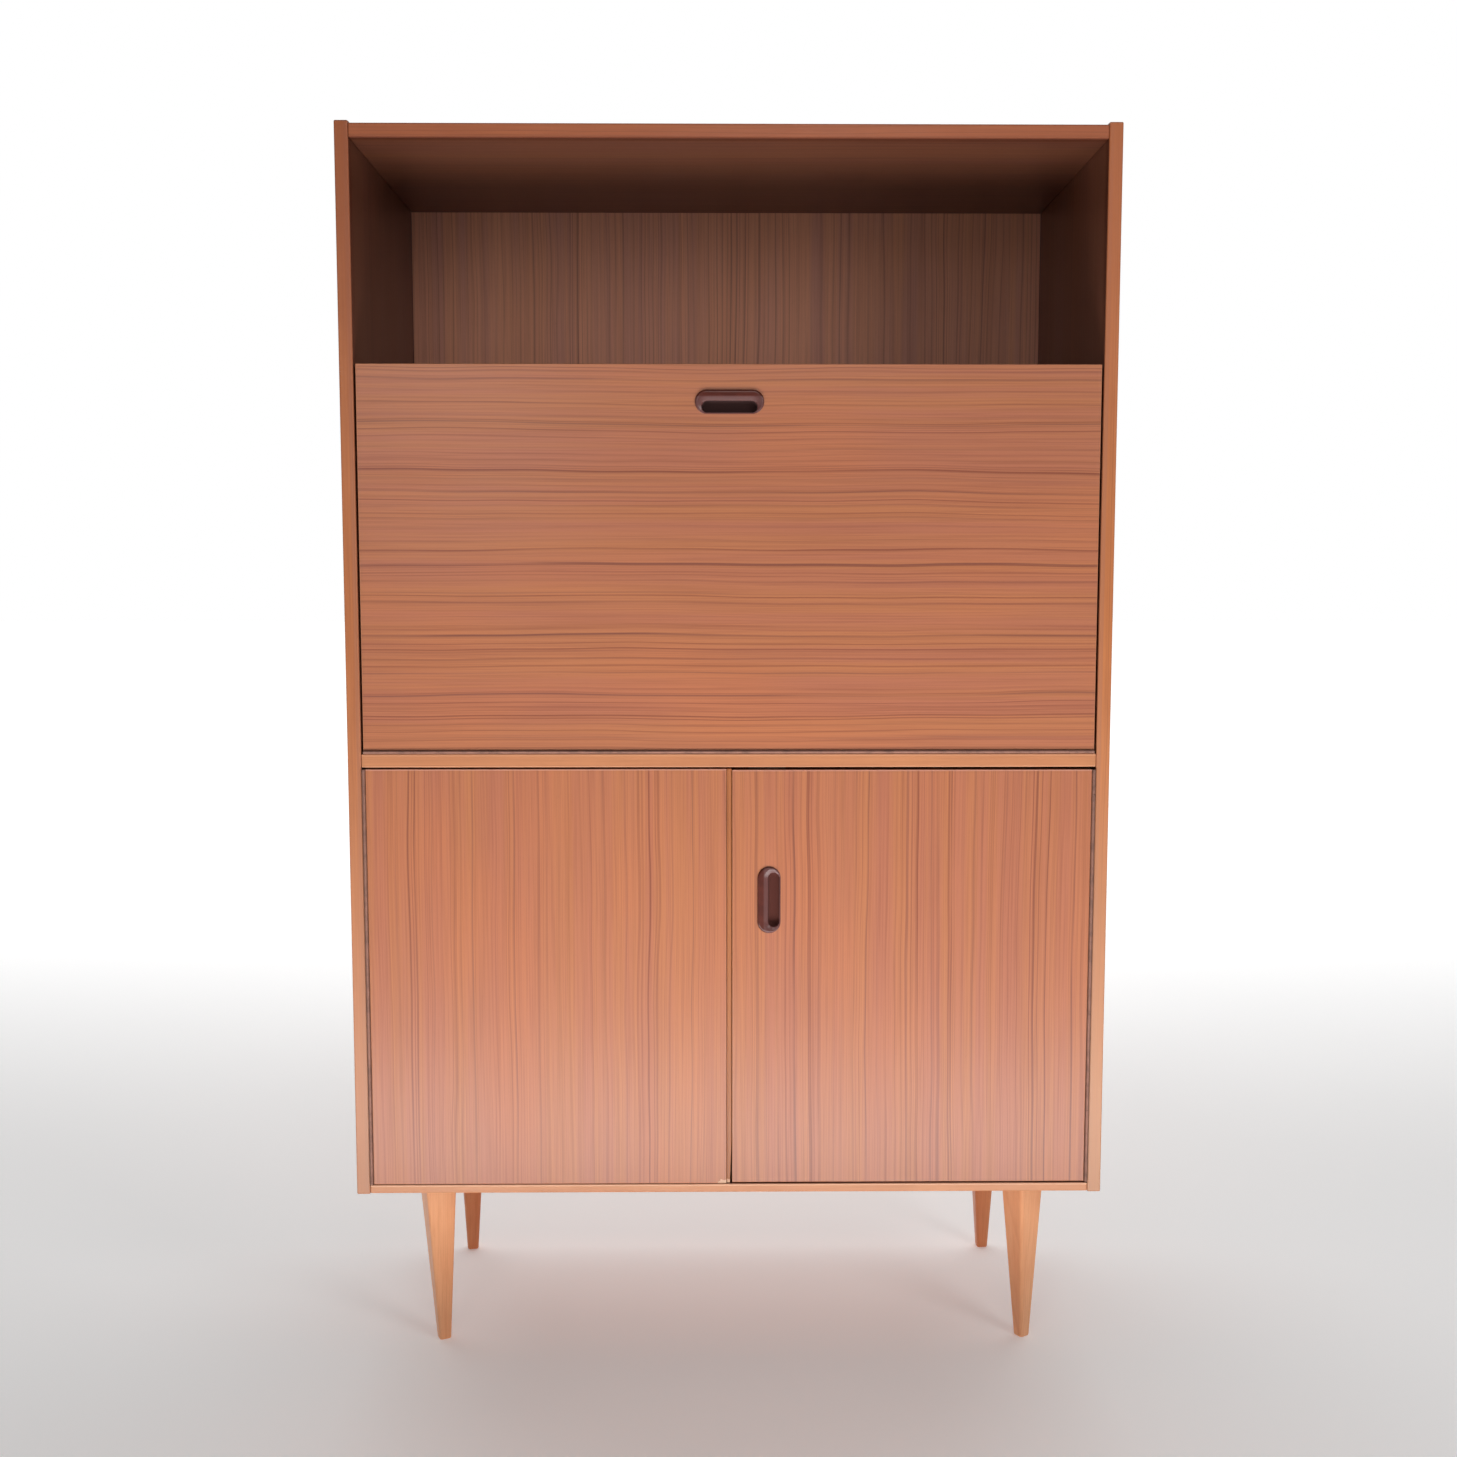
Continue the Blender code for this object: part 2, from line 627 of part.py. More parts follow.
def add_meeting_strip(left_x, low_z, high_z, wood):
    """The strip on the left door's edge, worn narrower at its foot."""
    front = LEAF_FRONT + STRIP_SETBACK
    bm = make_box((left_x, front, low_z), (STRIP_RIGHT, front + STRIP_DEPTH, high_z))
    bmesh.ops.bisect_plane(bm, geom=bm.verts[:] + bm.edges[:] + bm.faces[:],
                           plane_co=(0, 0, low_z + STRIP_WEAR_HEIGHT), plane_no=(0, 0, 1))
    middle_x = (left_x + STRIP_RIGHT) / 2
    for vertex in bm.verts:
        if vertex.co.z < low_z + STRIP_WEAR_HEIGHT / 2 and vertex.co.x > middle_x:
            vertex.co.x -= STRIP_WEAR
    strip = add_part("meeting_strip", bm, wood)
    add_bevel(strip, EDGE_ROUND)
    return strip


def build_legs(materials):
    """Square tapered legs, each on a hanger stud through a steel plate under the bottom."""
    underside = CASE_BOTTOM + BOTTOM_LIFT
    plate_top = underside - FIT
    plate_low = plate_top - LEG_PLATE
    leg_top = plate_low - FIT
    for name, (x, degrees, lean) in LEGS.items():
        y = leg_y(name)
        turn = Matrix.Rotation(math.radians(degrees), 3, "Z")
        foot_shift = turn.transposed() @ Vector((lean, 0, 0))
        leg = add_part(name + "_leg", make_leg(leg_top, foot_shift), materials["leg"])
        leg.location = (x, y, 0)
        leg.rotation_euler = turn.to_euler()
        bore = make_cylinder((0, 0, leg_top - STUD_IN_LEG - STUD_END_GAP),
                             (0, 0, leg_top + STUD_END_GAP), STUD_BORE)
        boolean(leg, add_cutter(name + "_leg_bore", bore, leg), "DIFFERENCE")
        smooth(leg)

        plate_bm = make_box((-LEG_PLATE_SIDE / 2, -LEG_PLATE_SIDE / 2, plate_low),
                            (LEG_PLATE_SIDE / 2, LEG_PLATE_SIDE / 2, plate_top))
        corners = [e for e in plate_bm.edges
                   if abs(e.verts[0].co.z - e.verts[1].co.z) > LEG_PLATE / 2]
        bmesh.ops.bevel(plate_bm, geom=corners, offset=LEG_PLATE_CORNER, segments=4,
                        profile=0.5, affect="EDGES")
        plate = add_part(name + "_leg_plate", plate_bm, materials["steel"])
        plate.location = (x, y, 0)
        hole = make_cylinder((0, 0, plate_low - STUD_END_GAP), (0, 0, plate_top + STUD_END_GAP),
                             STUD_BORE)
        boolean(plate, add_cutter(name + "_plate_hole", hole, plate), "DIFFERENCE")

        stud = add_part(name + "_leg_stud", make_cylinder(
            (x, y, leg_top - STUD_IN_LEG), (x, y, plate_top + STUD_ABOVE_PLATE),
            STUD_RADIUS), materials["steel"])
        smooth(stud)


def leg_y(name):
    return -LEG_Y if "front" in name else LEG_Y


def make_leg(height, foot_shift):
    """A square taper standing on Z = 0, with rounded corners, an eased foot and a slight lean."""
    bm = bmesh.new()
    bmesh.ops.create_cone(
        bm, cap_ends=True, segments=4, radius1=LEG_FOOT_SIDE / math.sqrt(2),
        radius2=LEG_TOP_SIDE / math.sqrt(2), depth=height,
        matrix=Matrix.Translation((0, 0, height / 2)) @ Matrix.Rotation(math.pi / 4, 4, "Z"))
    arrises = [e for e in bm.edges if abs(e.verts[0].co.z - e.verts[1].co.z) > height / 2]
    bmesh.ops.bevel(bm, geom=arrises, offset=LEG_CORNER, segments=5, profile=0.5,
                    affect="EDGES")
    foot = [e for e in bm.edges if max(v.co.z for v in e.verts) < height / 2]
    bmesh.ops.bevel(bm, geom=foot, offset=LEG_FOOT_ROUND, segments=2, profile=0.5,
                    affect="EDGES")
    for vertex in bm.verts:
        vertex.co += foot_shift * (1.0 - vertex.co.z / height)
    return bm


clear_scene()
parts = make_collection(PARTS)
cutters = make_collection(CUTTERS)
finishes = {
    "case": make_material("teak_laminate", (0.40, 0.16, 0.09), 0.42),
    "flap": make_material("teak_laminate_flap", (0.43, 0.17, 0.10), 0.38),
    "door": make_material("teak_laminate_door", (0.46, 0.20, 0.11), 0.38),
    "back": make_material("teak_laminate_back", (0.36, 0.15, 0.10), 0.50),
    "lipping": make_material("solid_lipping", (0.55, 0.22, 0.09), 0.45),
    "cleat": make_material("plain_beech", (0.62, 0.40, 0.22), 0.60),
    "leg": make_material("leg_beech", (0.68, 0.33, 0.13), 0.35),
    "pull": make_material("dark_pull", (0.05, 0.012, 0.008), 0.18),
    "hinge": make_material("piano_hinge_steel", (0.42, 0.36, 0.31), 0.38, 1.0),
    "steel": make_material("zinc_steel", (0.60, 0.59, 0.57), 0.35, 1.0),
    "chrome": make_material("stay_chrome", (0.75, 0.75, 0.76), 0.12, 1.0),
    "catch": make_material("catch_plastic", (0.55, 0.50, 0.42), 0.45)}

build_case(finishes["case"], finishes["lipping"], finishes["back"])
build_shelves(finishes["case"], finishes["cleat"])
build_flap(finishes)
build_stays(finishes)
build_doors(finishes)
build_legs(finishes)
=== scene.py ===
"""The secretary desk's looks: laminate, lippings, pulls, screws, light, floor and camera."""
import json
import math

import bmesh
import bpy
from mathutils import Matrix, Vector


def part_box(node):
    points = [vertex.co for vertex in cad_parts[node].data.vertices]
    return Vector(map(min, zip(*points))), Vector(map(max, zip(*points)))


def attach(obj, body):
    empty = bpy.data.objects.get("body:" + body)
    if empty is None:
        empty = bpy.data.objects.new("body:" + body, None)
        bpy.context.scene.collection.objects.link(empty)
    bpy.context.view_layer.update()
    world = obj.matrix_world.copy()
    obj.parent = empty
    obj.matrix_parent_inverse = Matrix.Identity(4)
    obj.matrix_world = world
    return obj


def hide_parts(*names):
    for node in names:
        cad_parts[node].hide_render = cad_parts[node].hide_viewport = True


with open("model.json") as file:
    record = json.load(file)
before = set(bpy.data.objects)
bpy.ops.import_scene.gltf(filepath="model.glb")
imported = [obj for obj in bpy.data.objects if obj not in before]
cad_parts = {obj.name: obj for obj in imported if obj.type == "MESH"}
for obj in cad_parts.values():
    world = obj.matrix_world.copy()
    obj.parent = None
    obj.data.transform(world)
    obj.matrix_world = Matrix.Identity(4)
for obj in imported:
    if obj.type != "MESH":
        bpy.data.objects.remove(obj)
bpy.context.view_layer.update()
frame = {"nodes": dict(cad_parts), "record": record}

record = frame["record"]
scene = bpy.context.scene


# ---------------------------------------------------------------- shader graph helper

class Graph:
    """Adds shader nodes to one material and links them."""

    def __init__(self, name):
        self.material = bpy.data.materials.new(name)
        self.material.use_nodes = True
        self.tree = self.material.node_tree
        self.shader = self.tree.nodes["Principled BSDF"]
        coordinates = self.tree.nodes.new("ShaderNodeTexCoord")
        self.place = coordinates.outputs["Object"]
        self.facing = coordinates.outputs["Normal"]

    def put(self, value, socket):
        if isinstance(value, bpy.types.NodeSocket):
            self.tree.links.new(value, socket)
        else:
            socket.default_value = value

    def math(self, operation, *values, clamp=False):
        node = self.tree.nodes.new("ShaderNodeMath")
        node.operation = operation
        node.use_clamp = clamp
        for value, socket in zip(values, node.inputs):
            self.put(value, socket)
        return node.outputs[0]

    def vector(self, operation, *values):
        node = self.tree.nodes.new("ShaderNodeVectorMath")
        node.operation = operation
        for value, socket in zip(values, node.inputs):
            self.put(value, socket)
        return node.outputs[0]

    def split(self, vector):
        node = self.tree.nodes.new("ShaderNodeSeparateXYZ")
        self.put(vector, node.inputs[0])
        return node.outputs

    def join(self, x, y, z):
        node = self.tree.nodes.new("ShaderNodeCombineXYZ")
        for value, socket in zip((x, y, z), node.inputs):
            self.put(value, socket)
        return node.outputs[0]

    def noise(self, vector, scale=1.0, detail=2.0, roughness=0.5):
        node = self.tree.nodes.new("ShaderNodeTexNoise")
        self.put(vector, node.inputs["Vector"])
        node.inputs["Scale"].default_value = scale
        node.inputs["Detail"].default_value = detail
        node.inputs["Roughness"].default_value = roughness
        return node.outputs["Fac"]

    def white(self, value):
        node = self.tree.nodes.new("ShaderNodeTexWhiteNoise")
        node.noise_dimensions = "1D"
        self.put(value, node.inputs["W"])
        return node.outputs["Value"]

    def span(self, value, low, high, to_low=0.0, to_high=1.0):
        """Smoothly maps low..high to to_low..to_high."""
        node = self.tree.nodes.new("ShaderNodeMapRange")
        node.interpolation_type = "SMOOTHSTEP"
        for item, socket in zip((value, low, high, to_low, to_high), node.inputs):
            self.put(item, socket)
        return node.outputs[0]

    def mix(self, amount, first, second, blend="MIX"):
        node = self.tree.nodes.new("ShaderNodeMix")
        node.data_type = "RGBA"
        node.blend_type = blend
        self.put(amount, node.inputs["Factor"])
        for value, socket in ((first, node.inputs[6]), (second, node.inputs[7])):
            self.put((*value, 1.0) if isinstance(value, tuple) else value, socket)
        return node.outputs[2]

    def bump(self, height, distance, strength=1.0):
        node = self.tree.nodes.new("ShaderNodeBump")
        node.inputs["Strength"].default_value = strength
        node.inputs["Distance"].default_value = distance
        self.put(height, node.inputs["Height"])
        self.put(node.outputs[0], self.shader.inputs["Normal"])

    def finish(self, colour, roughness, metallic=0.0, coat=0.0, coat_roughness=0.1,
               specular=0.5):
        self.put(colour, self.shader.inputs["Base Color"])
        self.put(roughness, self.shader.inputs["Roughness"])
        self.shader.inputs["Metallic"].default_value = metallic
        self.shader.inputs["Coat Weight"].default_value = coat
        self.shader.inputs["Coat Roughness"].default_value = coat_roughness
        self.shader.inputs["Specular IOR Level"].default_value = specular
        return self.material


def stretched(graph, axis, along, across, offset=(0.0, 0.0, 0.0)):
    """Coordinates scaled by along on the grain's axis and by across on the other two."""
    scale = tuple(along if index == axis else across for index in range(3))
    moved = graph.vector("ADD", graph.place, offset)
    return graph.vector("MULTIPLY", moved, scale)


def grain_position(graph, axis, seed, wander):
    """Distance across the grain in metres, bent a little so that straight lines run like wood."""
    x, y, z = graph.split(graph.place)
    across = graph.math("ADD", *[c for i, c in enumerate((x, y, z)) if i != axis])
    sweep = graph.noise(stretched(graph, axis, 0.9, 5.0, (seed, seed * 0.7, seed * 1.3)),
                        detail=1.0)
    ripple = graph.noise(stretched(graph, axis, 4.5, 14.0, (seed * 2.1, seed, seed)), detail=1.0)
    across = graph.math("MULTIPLY_ADD", sweep, wander, across)
    return graph.math("MULTIPLY_ADD", ripple, wander * 0.5, across)


def growth_lines(graph, across, cell, width, seed, rarity):
    """One thin line per cell at a random place: soft on one side and crisp on the other."""
    steps = graph.math("ADD", graph.math("DIVIDE", across, cell), seed * 31.0)
    which = graph.math("FLOOR", steps)
    within = graph.math("FRACT", steps)
    place = graph.math("MULTIPLY_ADD", graph.white(graph.math("MULTIPLY", which, 1.37)), 0.62,
                       0.24)
    size = graph.math("MULTIPLY_ADD", graph.white(graph.math("ADD", which, 0.31)), 0.8, 0.6)
    distance = graph.math("MULTIPLY", graph.math("SUBTRACT", within, place), cell / width)
    distance = graph.math("DIVIDE", distance, size)
    soft = graph.math("POWER", graph.span(distance, -2.6, 0.0), 1.8)
    crisp = graph.span(distance, 0.05, 0.85, 1.0, 0.0)
    chance = graph.math("POWER", graph.white(graph.math("MULTIPLY", which, 2.11)), rarity)
    return graph.math("MULTIPLY", graph.math("MULTIPLY", soft, crisp), chance), which


def edge_distance(graph, low, high, axes):
    """Distance inwards from the outline of a board, measured along two axes."""
    parts = graph.split(graph.place)
    nearest = None
    for axis in axes:
        for distance in (graph.math("SUBTRACT", parts[axis], low[axis]),
                         graph.math("SUBTRACT", high[axis], parts[axis])):
            nearest = distance if nearest is None else graph.math("MINIMUM", nearest, distance)
    return nearest


GRAIN_X, GRAIN_Y, GRAIN_Z = 0, 1, 2
WHITE = (1.0, 1.0, 1.0)

# painted shade inside the case: how far in the outer faces reach, the painted shadow strip along
# the front edges, and the painted shade tones
OUTER_SKIN = 0.004
FRONT_STRIP = 0.012
STRIP_FADE = 0.003
FACE_MARGIN = 0.0005
CLOSED_PAINTED_SHADE = (0.78, 0.78, 0.78)
NICHE_PAINTED_SHADE = (0.35, 0.34, 0.36)
NICHE_LEFT_PAINTED_SHADE = (0.24, 0.22, 0.24)
PAINTED_FRONT_SHADOW = (0.22, 0.13, 0.10)

# broken_corner
RAW_WOOD = (0.74, 0.47, 0.31)
CHIP_RAGGED = 0.012
CHIP_REACH = (0.0138, 0.0150)
CHIP_FLATNESS = 5.0

# the outline of flap and doors: worn edges, a painted highlight along the doors' top edge, and the
# edge band
WORN_EDGE = (0.52, 0.22, 0.11)
TOP_EDGE_PAINTED_HIGHLIGHT = (0.72, 0.38, 0.30)
EDGE_BAND = ((0.50, 0.20, 0.09), (0.38, 0.14, 0.06))


def painted_inside_shade(graph, colour):
    """Painted shade: darkens the faces inside the case, most in the open niche, and paints a
    shadow along its front edges.
    """
    low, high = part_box("left_side_panel")
    x, y, z = graph.split(graph.place)
    reach = graph.math("ABSOLUTE", x)
    outer = graph.math("MAXIMUM", graph.math("GREATER_THAN", reach, -low.x - OUTER_SKIN),
                       graph.math("GREATER_THAN", z, high.z - OUTER_SKIN))
    outer = graph.math("MAXIMUM", outer, graph.math("LESS_THAN", z, low.z + OUTER_SKIN))
    outer = graph.math("MAXIMUM", outer, graph.math("GREATER_THAN", y, high.y - OUTER_SKIN))
    # deeper painted shade in the open niche, deepest on its left inner face
    niche = graph.math("GREATER_THAN", z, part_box("niche_floor")[0].z)
    left = graph.math("LESS_THAN", x, high.x + FACE_MARGIN)
    shade = graph.mix(left, NICHE_PAINTED_SHADE, NICHE_LEFT_PAINTED_SHADE)
    tone = graph.mix(niche, CLOSED_PAINTED_SHADE, shade)
    # a painted shadow along the front edges, just behind the lippings
    strip = graph.span(y, low.y + FRONT_STRIP - STRIP_FADE, low.y + FRONT_STRIP, 0.75, 0.0)
    tone = graph.mix(strip, tone, PAINTED_FRONT_SHADOW)
    tone = graph.mix(outer, tone, WHITE)
    return graph.mix(1.0, colour, tone, "MULTIPLY")


def broken_corner(graph, colour, gloss, place):
    """Bares pale raw wood in a small ragged patch around a place."""
    x, _, z = graph.split(graph.vector("SUBTRACT", graph.place, place))
    flat = graph.math("MULTIPLY", graph.math("MULTIPLY", z, z), CHIP_FLATNESS)
    reach = graph.math("SQRT", graph.math("ADD", graph.math("MULTIPLY", x, x), flat))
    jag = graph.noise(graph.place, scale=330.0, detail=3.0)
    broken = graph.span(graph.math("MULTIPLY_ADD", jag, CHIP_RAGGED, reach), *CHIP_REACH,
                        0.85, 0.0)
    colour = graph.mix(broken, colour, RAW_WOOD)
    return colour, graph.math("MULTIPLY_ADD", broken, 0.4, gloss)


def laminate(name, axis, seed, base, warm, line, purple, roughness=0.31, strength=1.0,
             coat=0.25, outline=None, chip=None, case=False):
    """Teak-pattern plastic laminate: growth lines, fine streaks, broad bands and pores.

    outline is a board's lowest and highest corner and the axes of its face, and on doors it
    also brings a painted highlight along the top edge; chip is where its corner is broken, and
    case says that it is a board of the case, darkened inside by painted shade.
    """
    g = Graph(name)
    across = grain_position(g, axis, seed, 0.020)
    bold, which = growth_lines(g, across, 0.0130, 0.00130, seed, 0.8)
    middle, _ = growth_lines(g, across, 0.0062, 0.00075, seed + 3.7, 1.2)
    fine, _ = growth_lines(g, across, 0.0024, 0.00045, seed + 6.1, 1.6)
    fade = g.noise(stretched(g, axis, 2.6, 55.0, (seed, 4.0, seed)), detail=2.0)
    fade = g.span(fade, 0.34, 0.58, 0.35, 1.0)
    crowd = g.noise(g.join(g.math("MULTIPLY", across, 30.0), seed, 0.0), detail=1.0)
    crowd = g.span(crowd, 0.40, 0.58, 0.18, 1.0)
    bands = g.noise(stretched(g, axis, 0.8, 55.0, (seed, 1.0, seed)), detail=3.0)
    streaks = g.noise(stretched(g, axis, 6.0, 520.0, (seed, seed, 2.0)), detail=3.0,
                      roughness=0.6)
    patches = g.noise(stretched(g, axis, 3.0, 9.0, (seed, seed, 8.0)), detail=2.0)
    pores = g.noise(stretched(g, axis, 95.0, 1900.0, (seed, 3.0, seed)), detail=1.0)

    colour = g.mix(g.span(bands, 0.34, 0.66), base, warm)
    glow = tuple(min(1.0, value * factor) for value, factor in zip(base, (1.14, 1.10, 0.86)))
    colour = g.mix(g.span(patches, 0.48, 0.72, 0.0, 0.6), colour, glow)
    colour = g.mix(g.span(streaks, 0.38, 0.76, 0.0, 0.30), colour, line)
    colour = g.mix(g.math("MULTIPLY", fine, 0.22 * strength), colour, line)
    middle = g.math("MULTIPLY", middle, crowd)
    colour = g.mix(g.math("MULTIPLY", middle, 0.85 * strength, clamp=True), colour, line)
    dark = g.mix(g.white(g.math("ADD", which, 0.5)), line, purple)
    bold = g.math("MULTIPLY", g.math("MULTIPLY", bold, fade), g.span(crowd, 0.0, 1.0, 0.45, 1.0))
    colour = g.mix(g.math("MULTIPLY", bold, 0.95 * strength, clamp=True), colour, dark)
    colour = g.mix(g.span(pores, 0.66, 0.74, 0.0, 0.14), colour, purple)
    if case:
        # painted shade on the case's inside faces
        colour = painted_inside_shade(g, colour)

    gloss = g.math("MULTIPLY_ADD", streaks, 0.06, roughness - 0.03)
    gloss = g.math("MULTIPLY_ADD", patches, 0.10, g.math("SUBTRACT", gloss, 0.05))

    if outline is not None:
        low, high, axes = outline
        distance = edge_distance(g, low, high, axes)
        ragged = g.noise(g.place, scale=260.0, detail=3.0)
        reach = g.math("MULTIPLY_ADD", ragged, 0.0022, -0.0004)
        wear = g.span(g.math("SUBTRACT", distance, reach), 0.0, 0.0006, 0.40, 0.0)
        colour = g.mix(wear, colour, WORN_EDGE)
        if axis == GRAIN_Z:
            # painted highlight: the doors are paler just below their top edge
            below_top = g.math("SUBTRACT", high[2], g.split(g.place)[2])
            colour = g.mix(g.span(below_top, 0.0010, 0.0022, 0.5, 0.0), colour, TOP_EDGE_PAINTED_HIGHLIGHT)
        facing = g.split(g.facing)
        flat = g.math("ABSOLUTE", facing[({0, 1, 2} - set(axes)).pop()])
        rim = g.span(flat, 0.2, 0.9, 1.0, 0.0)
        band_grain = g.noise(stretched(g, axis, 14.0, 300.0), detail=2.0)
        band = g.mix(g.span(band_grain, 0.35, 0.7), *EDGE_BAND)
        colour = g.mix(rim, colour, band)
        gloss = g.math("MULTIPLY_ADD", rim, 0.08, gloss)
    if chip is not None:
        colour, gloss = broken_corner(g, colour, gloss, chip)

    height = g.math("MULTIPLY_ADD", streaks, 0.6, g.math("MULTIPLY", pores, -0.5))
    height = g.math("MULTIPLY_ADD", bold, -0.7, height)
    g.bump(height, 0.00010, 0.5)
    return g.finish(colour, gloss, coat=coat, coat_roughness=0.25, specular=0.4)


def solid_wood(name, axis, seed, base, pale, line, roughness=0.38, coat=0.10, figure=0.6,
               light_and_shade_stripes=(), chip=None):
    """Varnished solid wood with straight grain, pores, uneven stain and bands of painted light and
    painted shade.
    """
    g = Graph(name)
    across = grain_position(g, axis, seed, 0.012)
    rings, _ = growth_lines(g, across, 0.0042, 0.0009, seed, 0.9)
    streaks = g.noise(stretched(g, axis, 12.0, 380.0, (seed, seed, seed)), detail=4.0,
                      roughness=0.65)
    bands = g.noise(stretched(g, axis, 4.0, 60.0, (seed, 2.0, seed)), detail=2.0)
    stain = g.noise(g.place, scale=9.0, detail=3.0)
    pores = g.noise(stretched(g, axis, 160.0, 2400.0, (seed, 5.0, seed)), detail=1.0)
    colour = g.mix(g.span(bands, 0.3, 0.7), base, pale)
    colour = g.mix(g.span(streaks, 0.38, 0.78, 0.0, 0.45), colour, line)
    colour = g.mix(g.math("MULTIPLY", rings, figure, clamp=True), colour, line)
    colour = g.mix(g.span(stain, 0.45, 0.75, 0.0, 0.22), colour, line)
    colour = g.mix(g.span(pores, 0.64, 0.74, 0.0, 0.30), colour, line)
    # bands of painted light and painted shade along one axis
    for stripe_axis, start, full, tone, amount in light_and_shade_stripes:
        reach = g.math("ABSOLUTE", g.split(g.place)[stripe_axis])
        ends = (0.0, amount) if full > start else (amount, 0.0)
        colour = g.mix(g.span(reach, min(start, full), max(start, full), *ends), colour, tone)
    gloss = g.math("MULTIPLY_ADD", stain, 0.16, roughness - 0.08)
    if chip is not None:
        colour, gloss = broken_corner(g, colour, gloss, chip)
    g.bump(g.math("SUBTRACT", streaks, g.math("MULTIPLY", pores, 0.8)), 0.00016, 0.6)
    return g.finish(colour, gloss, coat=coat, coat_roughness=0.2, specular=0.4)


def metal(name, base, tarnish, roughness, seed, metallic=1.0):
    """Plated steel with brushed marks, dull patches and fine scratches."""
    g = Graph(name)
    marks = g.noise(stretched(g, GRAIN_X, 60.0, 900.0, (seed, seed, seed)), detail=3.0)
    patches = g.noise(g.place, scale=70.0, detail=4.0, roughness=0.6)
    specks = g.noise(g.place, scale=800.0, detail=1.0)
    colour = g.mix(g.span(patches, 0.40, 0.72), base, tarnish)
    colour = g.mix(g.span(specks, 0.68, 0.76, 0.0, 0.5), colour, tarnish)
    gloss = g.math("MULTIPLY_ADD", patches, 0.22, roughness - 0.10)
    gloss = g.math("MULTIPLY_ADD", marks, 0.08, gloss)
    g.bump(marks, 0.00003, 0.5)
    return g.finish(colour, gloss, metallic=metallic)


# pull colours: the plastic's two browns, a greyer painted highlight for the lip, and dust
PULL_BROWN = ((0.082, 0.0145, 0.0080), (0.108, 0.0195, 0.0110))
PULL_LIP_PAINTED_HIGHLIGHT = (0.170, 0.075, 0.072)
PULL_DUST = (0.14, 0.060, 0.045)


def pull_finish(name, node, axis, sign, pocket):
    """Dark red-brown moulded plastic with dust, a greyer painted highlight along the lip, and
    painted shade deep in the pocket.
    """
    low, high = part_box(node)
    g = Graph(name)
    swirl = g.noise(g.vector("MULTIPLY", g.place, (55.0, 90.0, 90.0)), detail=3.0)
    dust = g.noise(g.place, scale=900.0, detail=2.0)
    colour = g.mix(g.span(swirl, 0.35, 0.7), *PULL_BROWN)
    up = g.math("MULTIPLY", g.math("SUBTRACT", g.split(g.place)[axis],
                                   (low[axis] + high[axis]) / 2), sign)
    # painted highlight: greyer along the lip, which is also rougher there
    lip_rub_and_highlight = g.span(g.math("MULTIPLY_ADD", dust, 0.0012, up), 0.0055, 0.0080, 0.50, 0.0)
    colour = g.mix(lip_rub_and_highlight, colour, PULL_LIP_PAINTED_HIGHLIGHT)
    colour = g.mix(g.span(dust, 0.64, 0.80, 0.0, 0.15), colour, PULL_DUST)
    # painted shade: darker deep in the pocket, and rougher there
    into = g.span(g.math("SUBTRACT", g.split(g.place)[1], low.y), 0.0030, 0.0050, 0.0, 0.80)
    colour = g.mix(into, colour, pocket)
    gloss = g.math("MULTIPLY_ADD", swirl, 0.04, 0.13)
    gloss = g.math("MULTIPLY_ADD", dust, 0.05, gloss)
    gloss = g.math("MULTIPLY_ADD", lip_rub_and_highlight, 0.16, gloss)
    gloss = g.math("MULTIPLY_ADD", into, 0.9, gloss)
    g.bump(dust, 0.00003, 0.3)
    return g.finish(colour, gloss, specular=0.5)


def plastic(name, base, shade, roughness):
    g = Graph(name)
    mottle = g.noise(g.place, scale=180.0, detail=3.0)
    grit = g.noise(g.place, scale=2200.0, detail=1.0)
    colour = g.mix(g.span(mottle, 0.35, 0.7), base, shade)
    gloss = g.math("MULTIPLY_ADD", mottle, 0.15, roughness - 0.05)
    g.bump(grit, 0.00004, 0.5)
    return g.finish(colour, gloss)


# ---------------------------------------------------------------- materials of the frame

# the laminate's ground, its warmer bands, its lines and its darkest lines
BASE = (0.484, 0.168, 0.091)
WARM = (0.516, 0.188, 0.081)
LINE = (0.245, 0.064, 0.034)
PURPLE = (0.180, 0.062, 0.047)

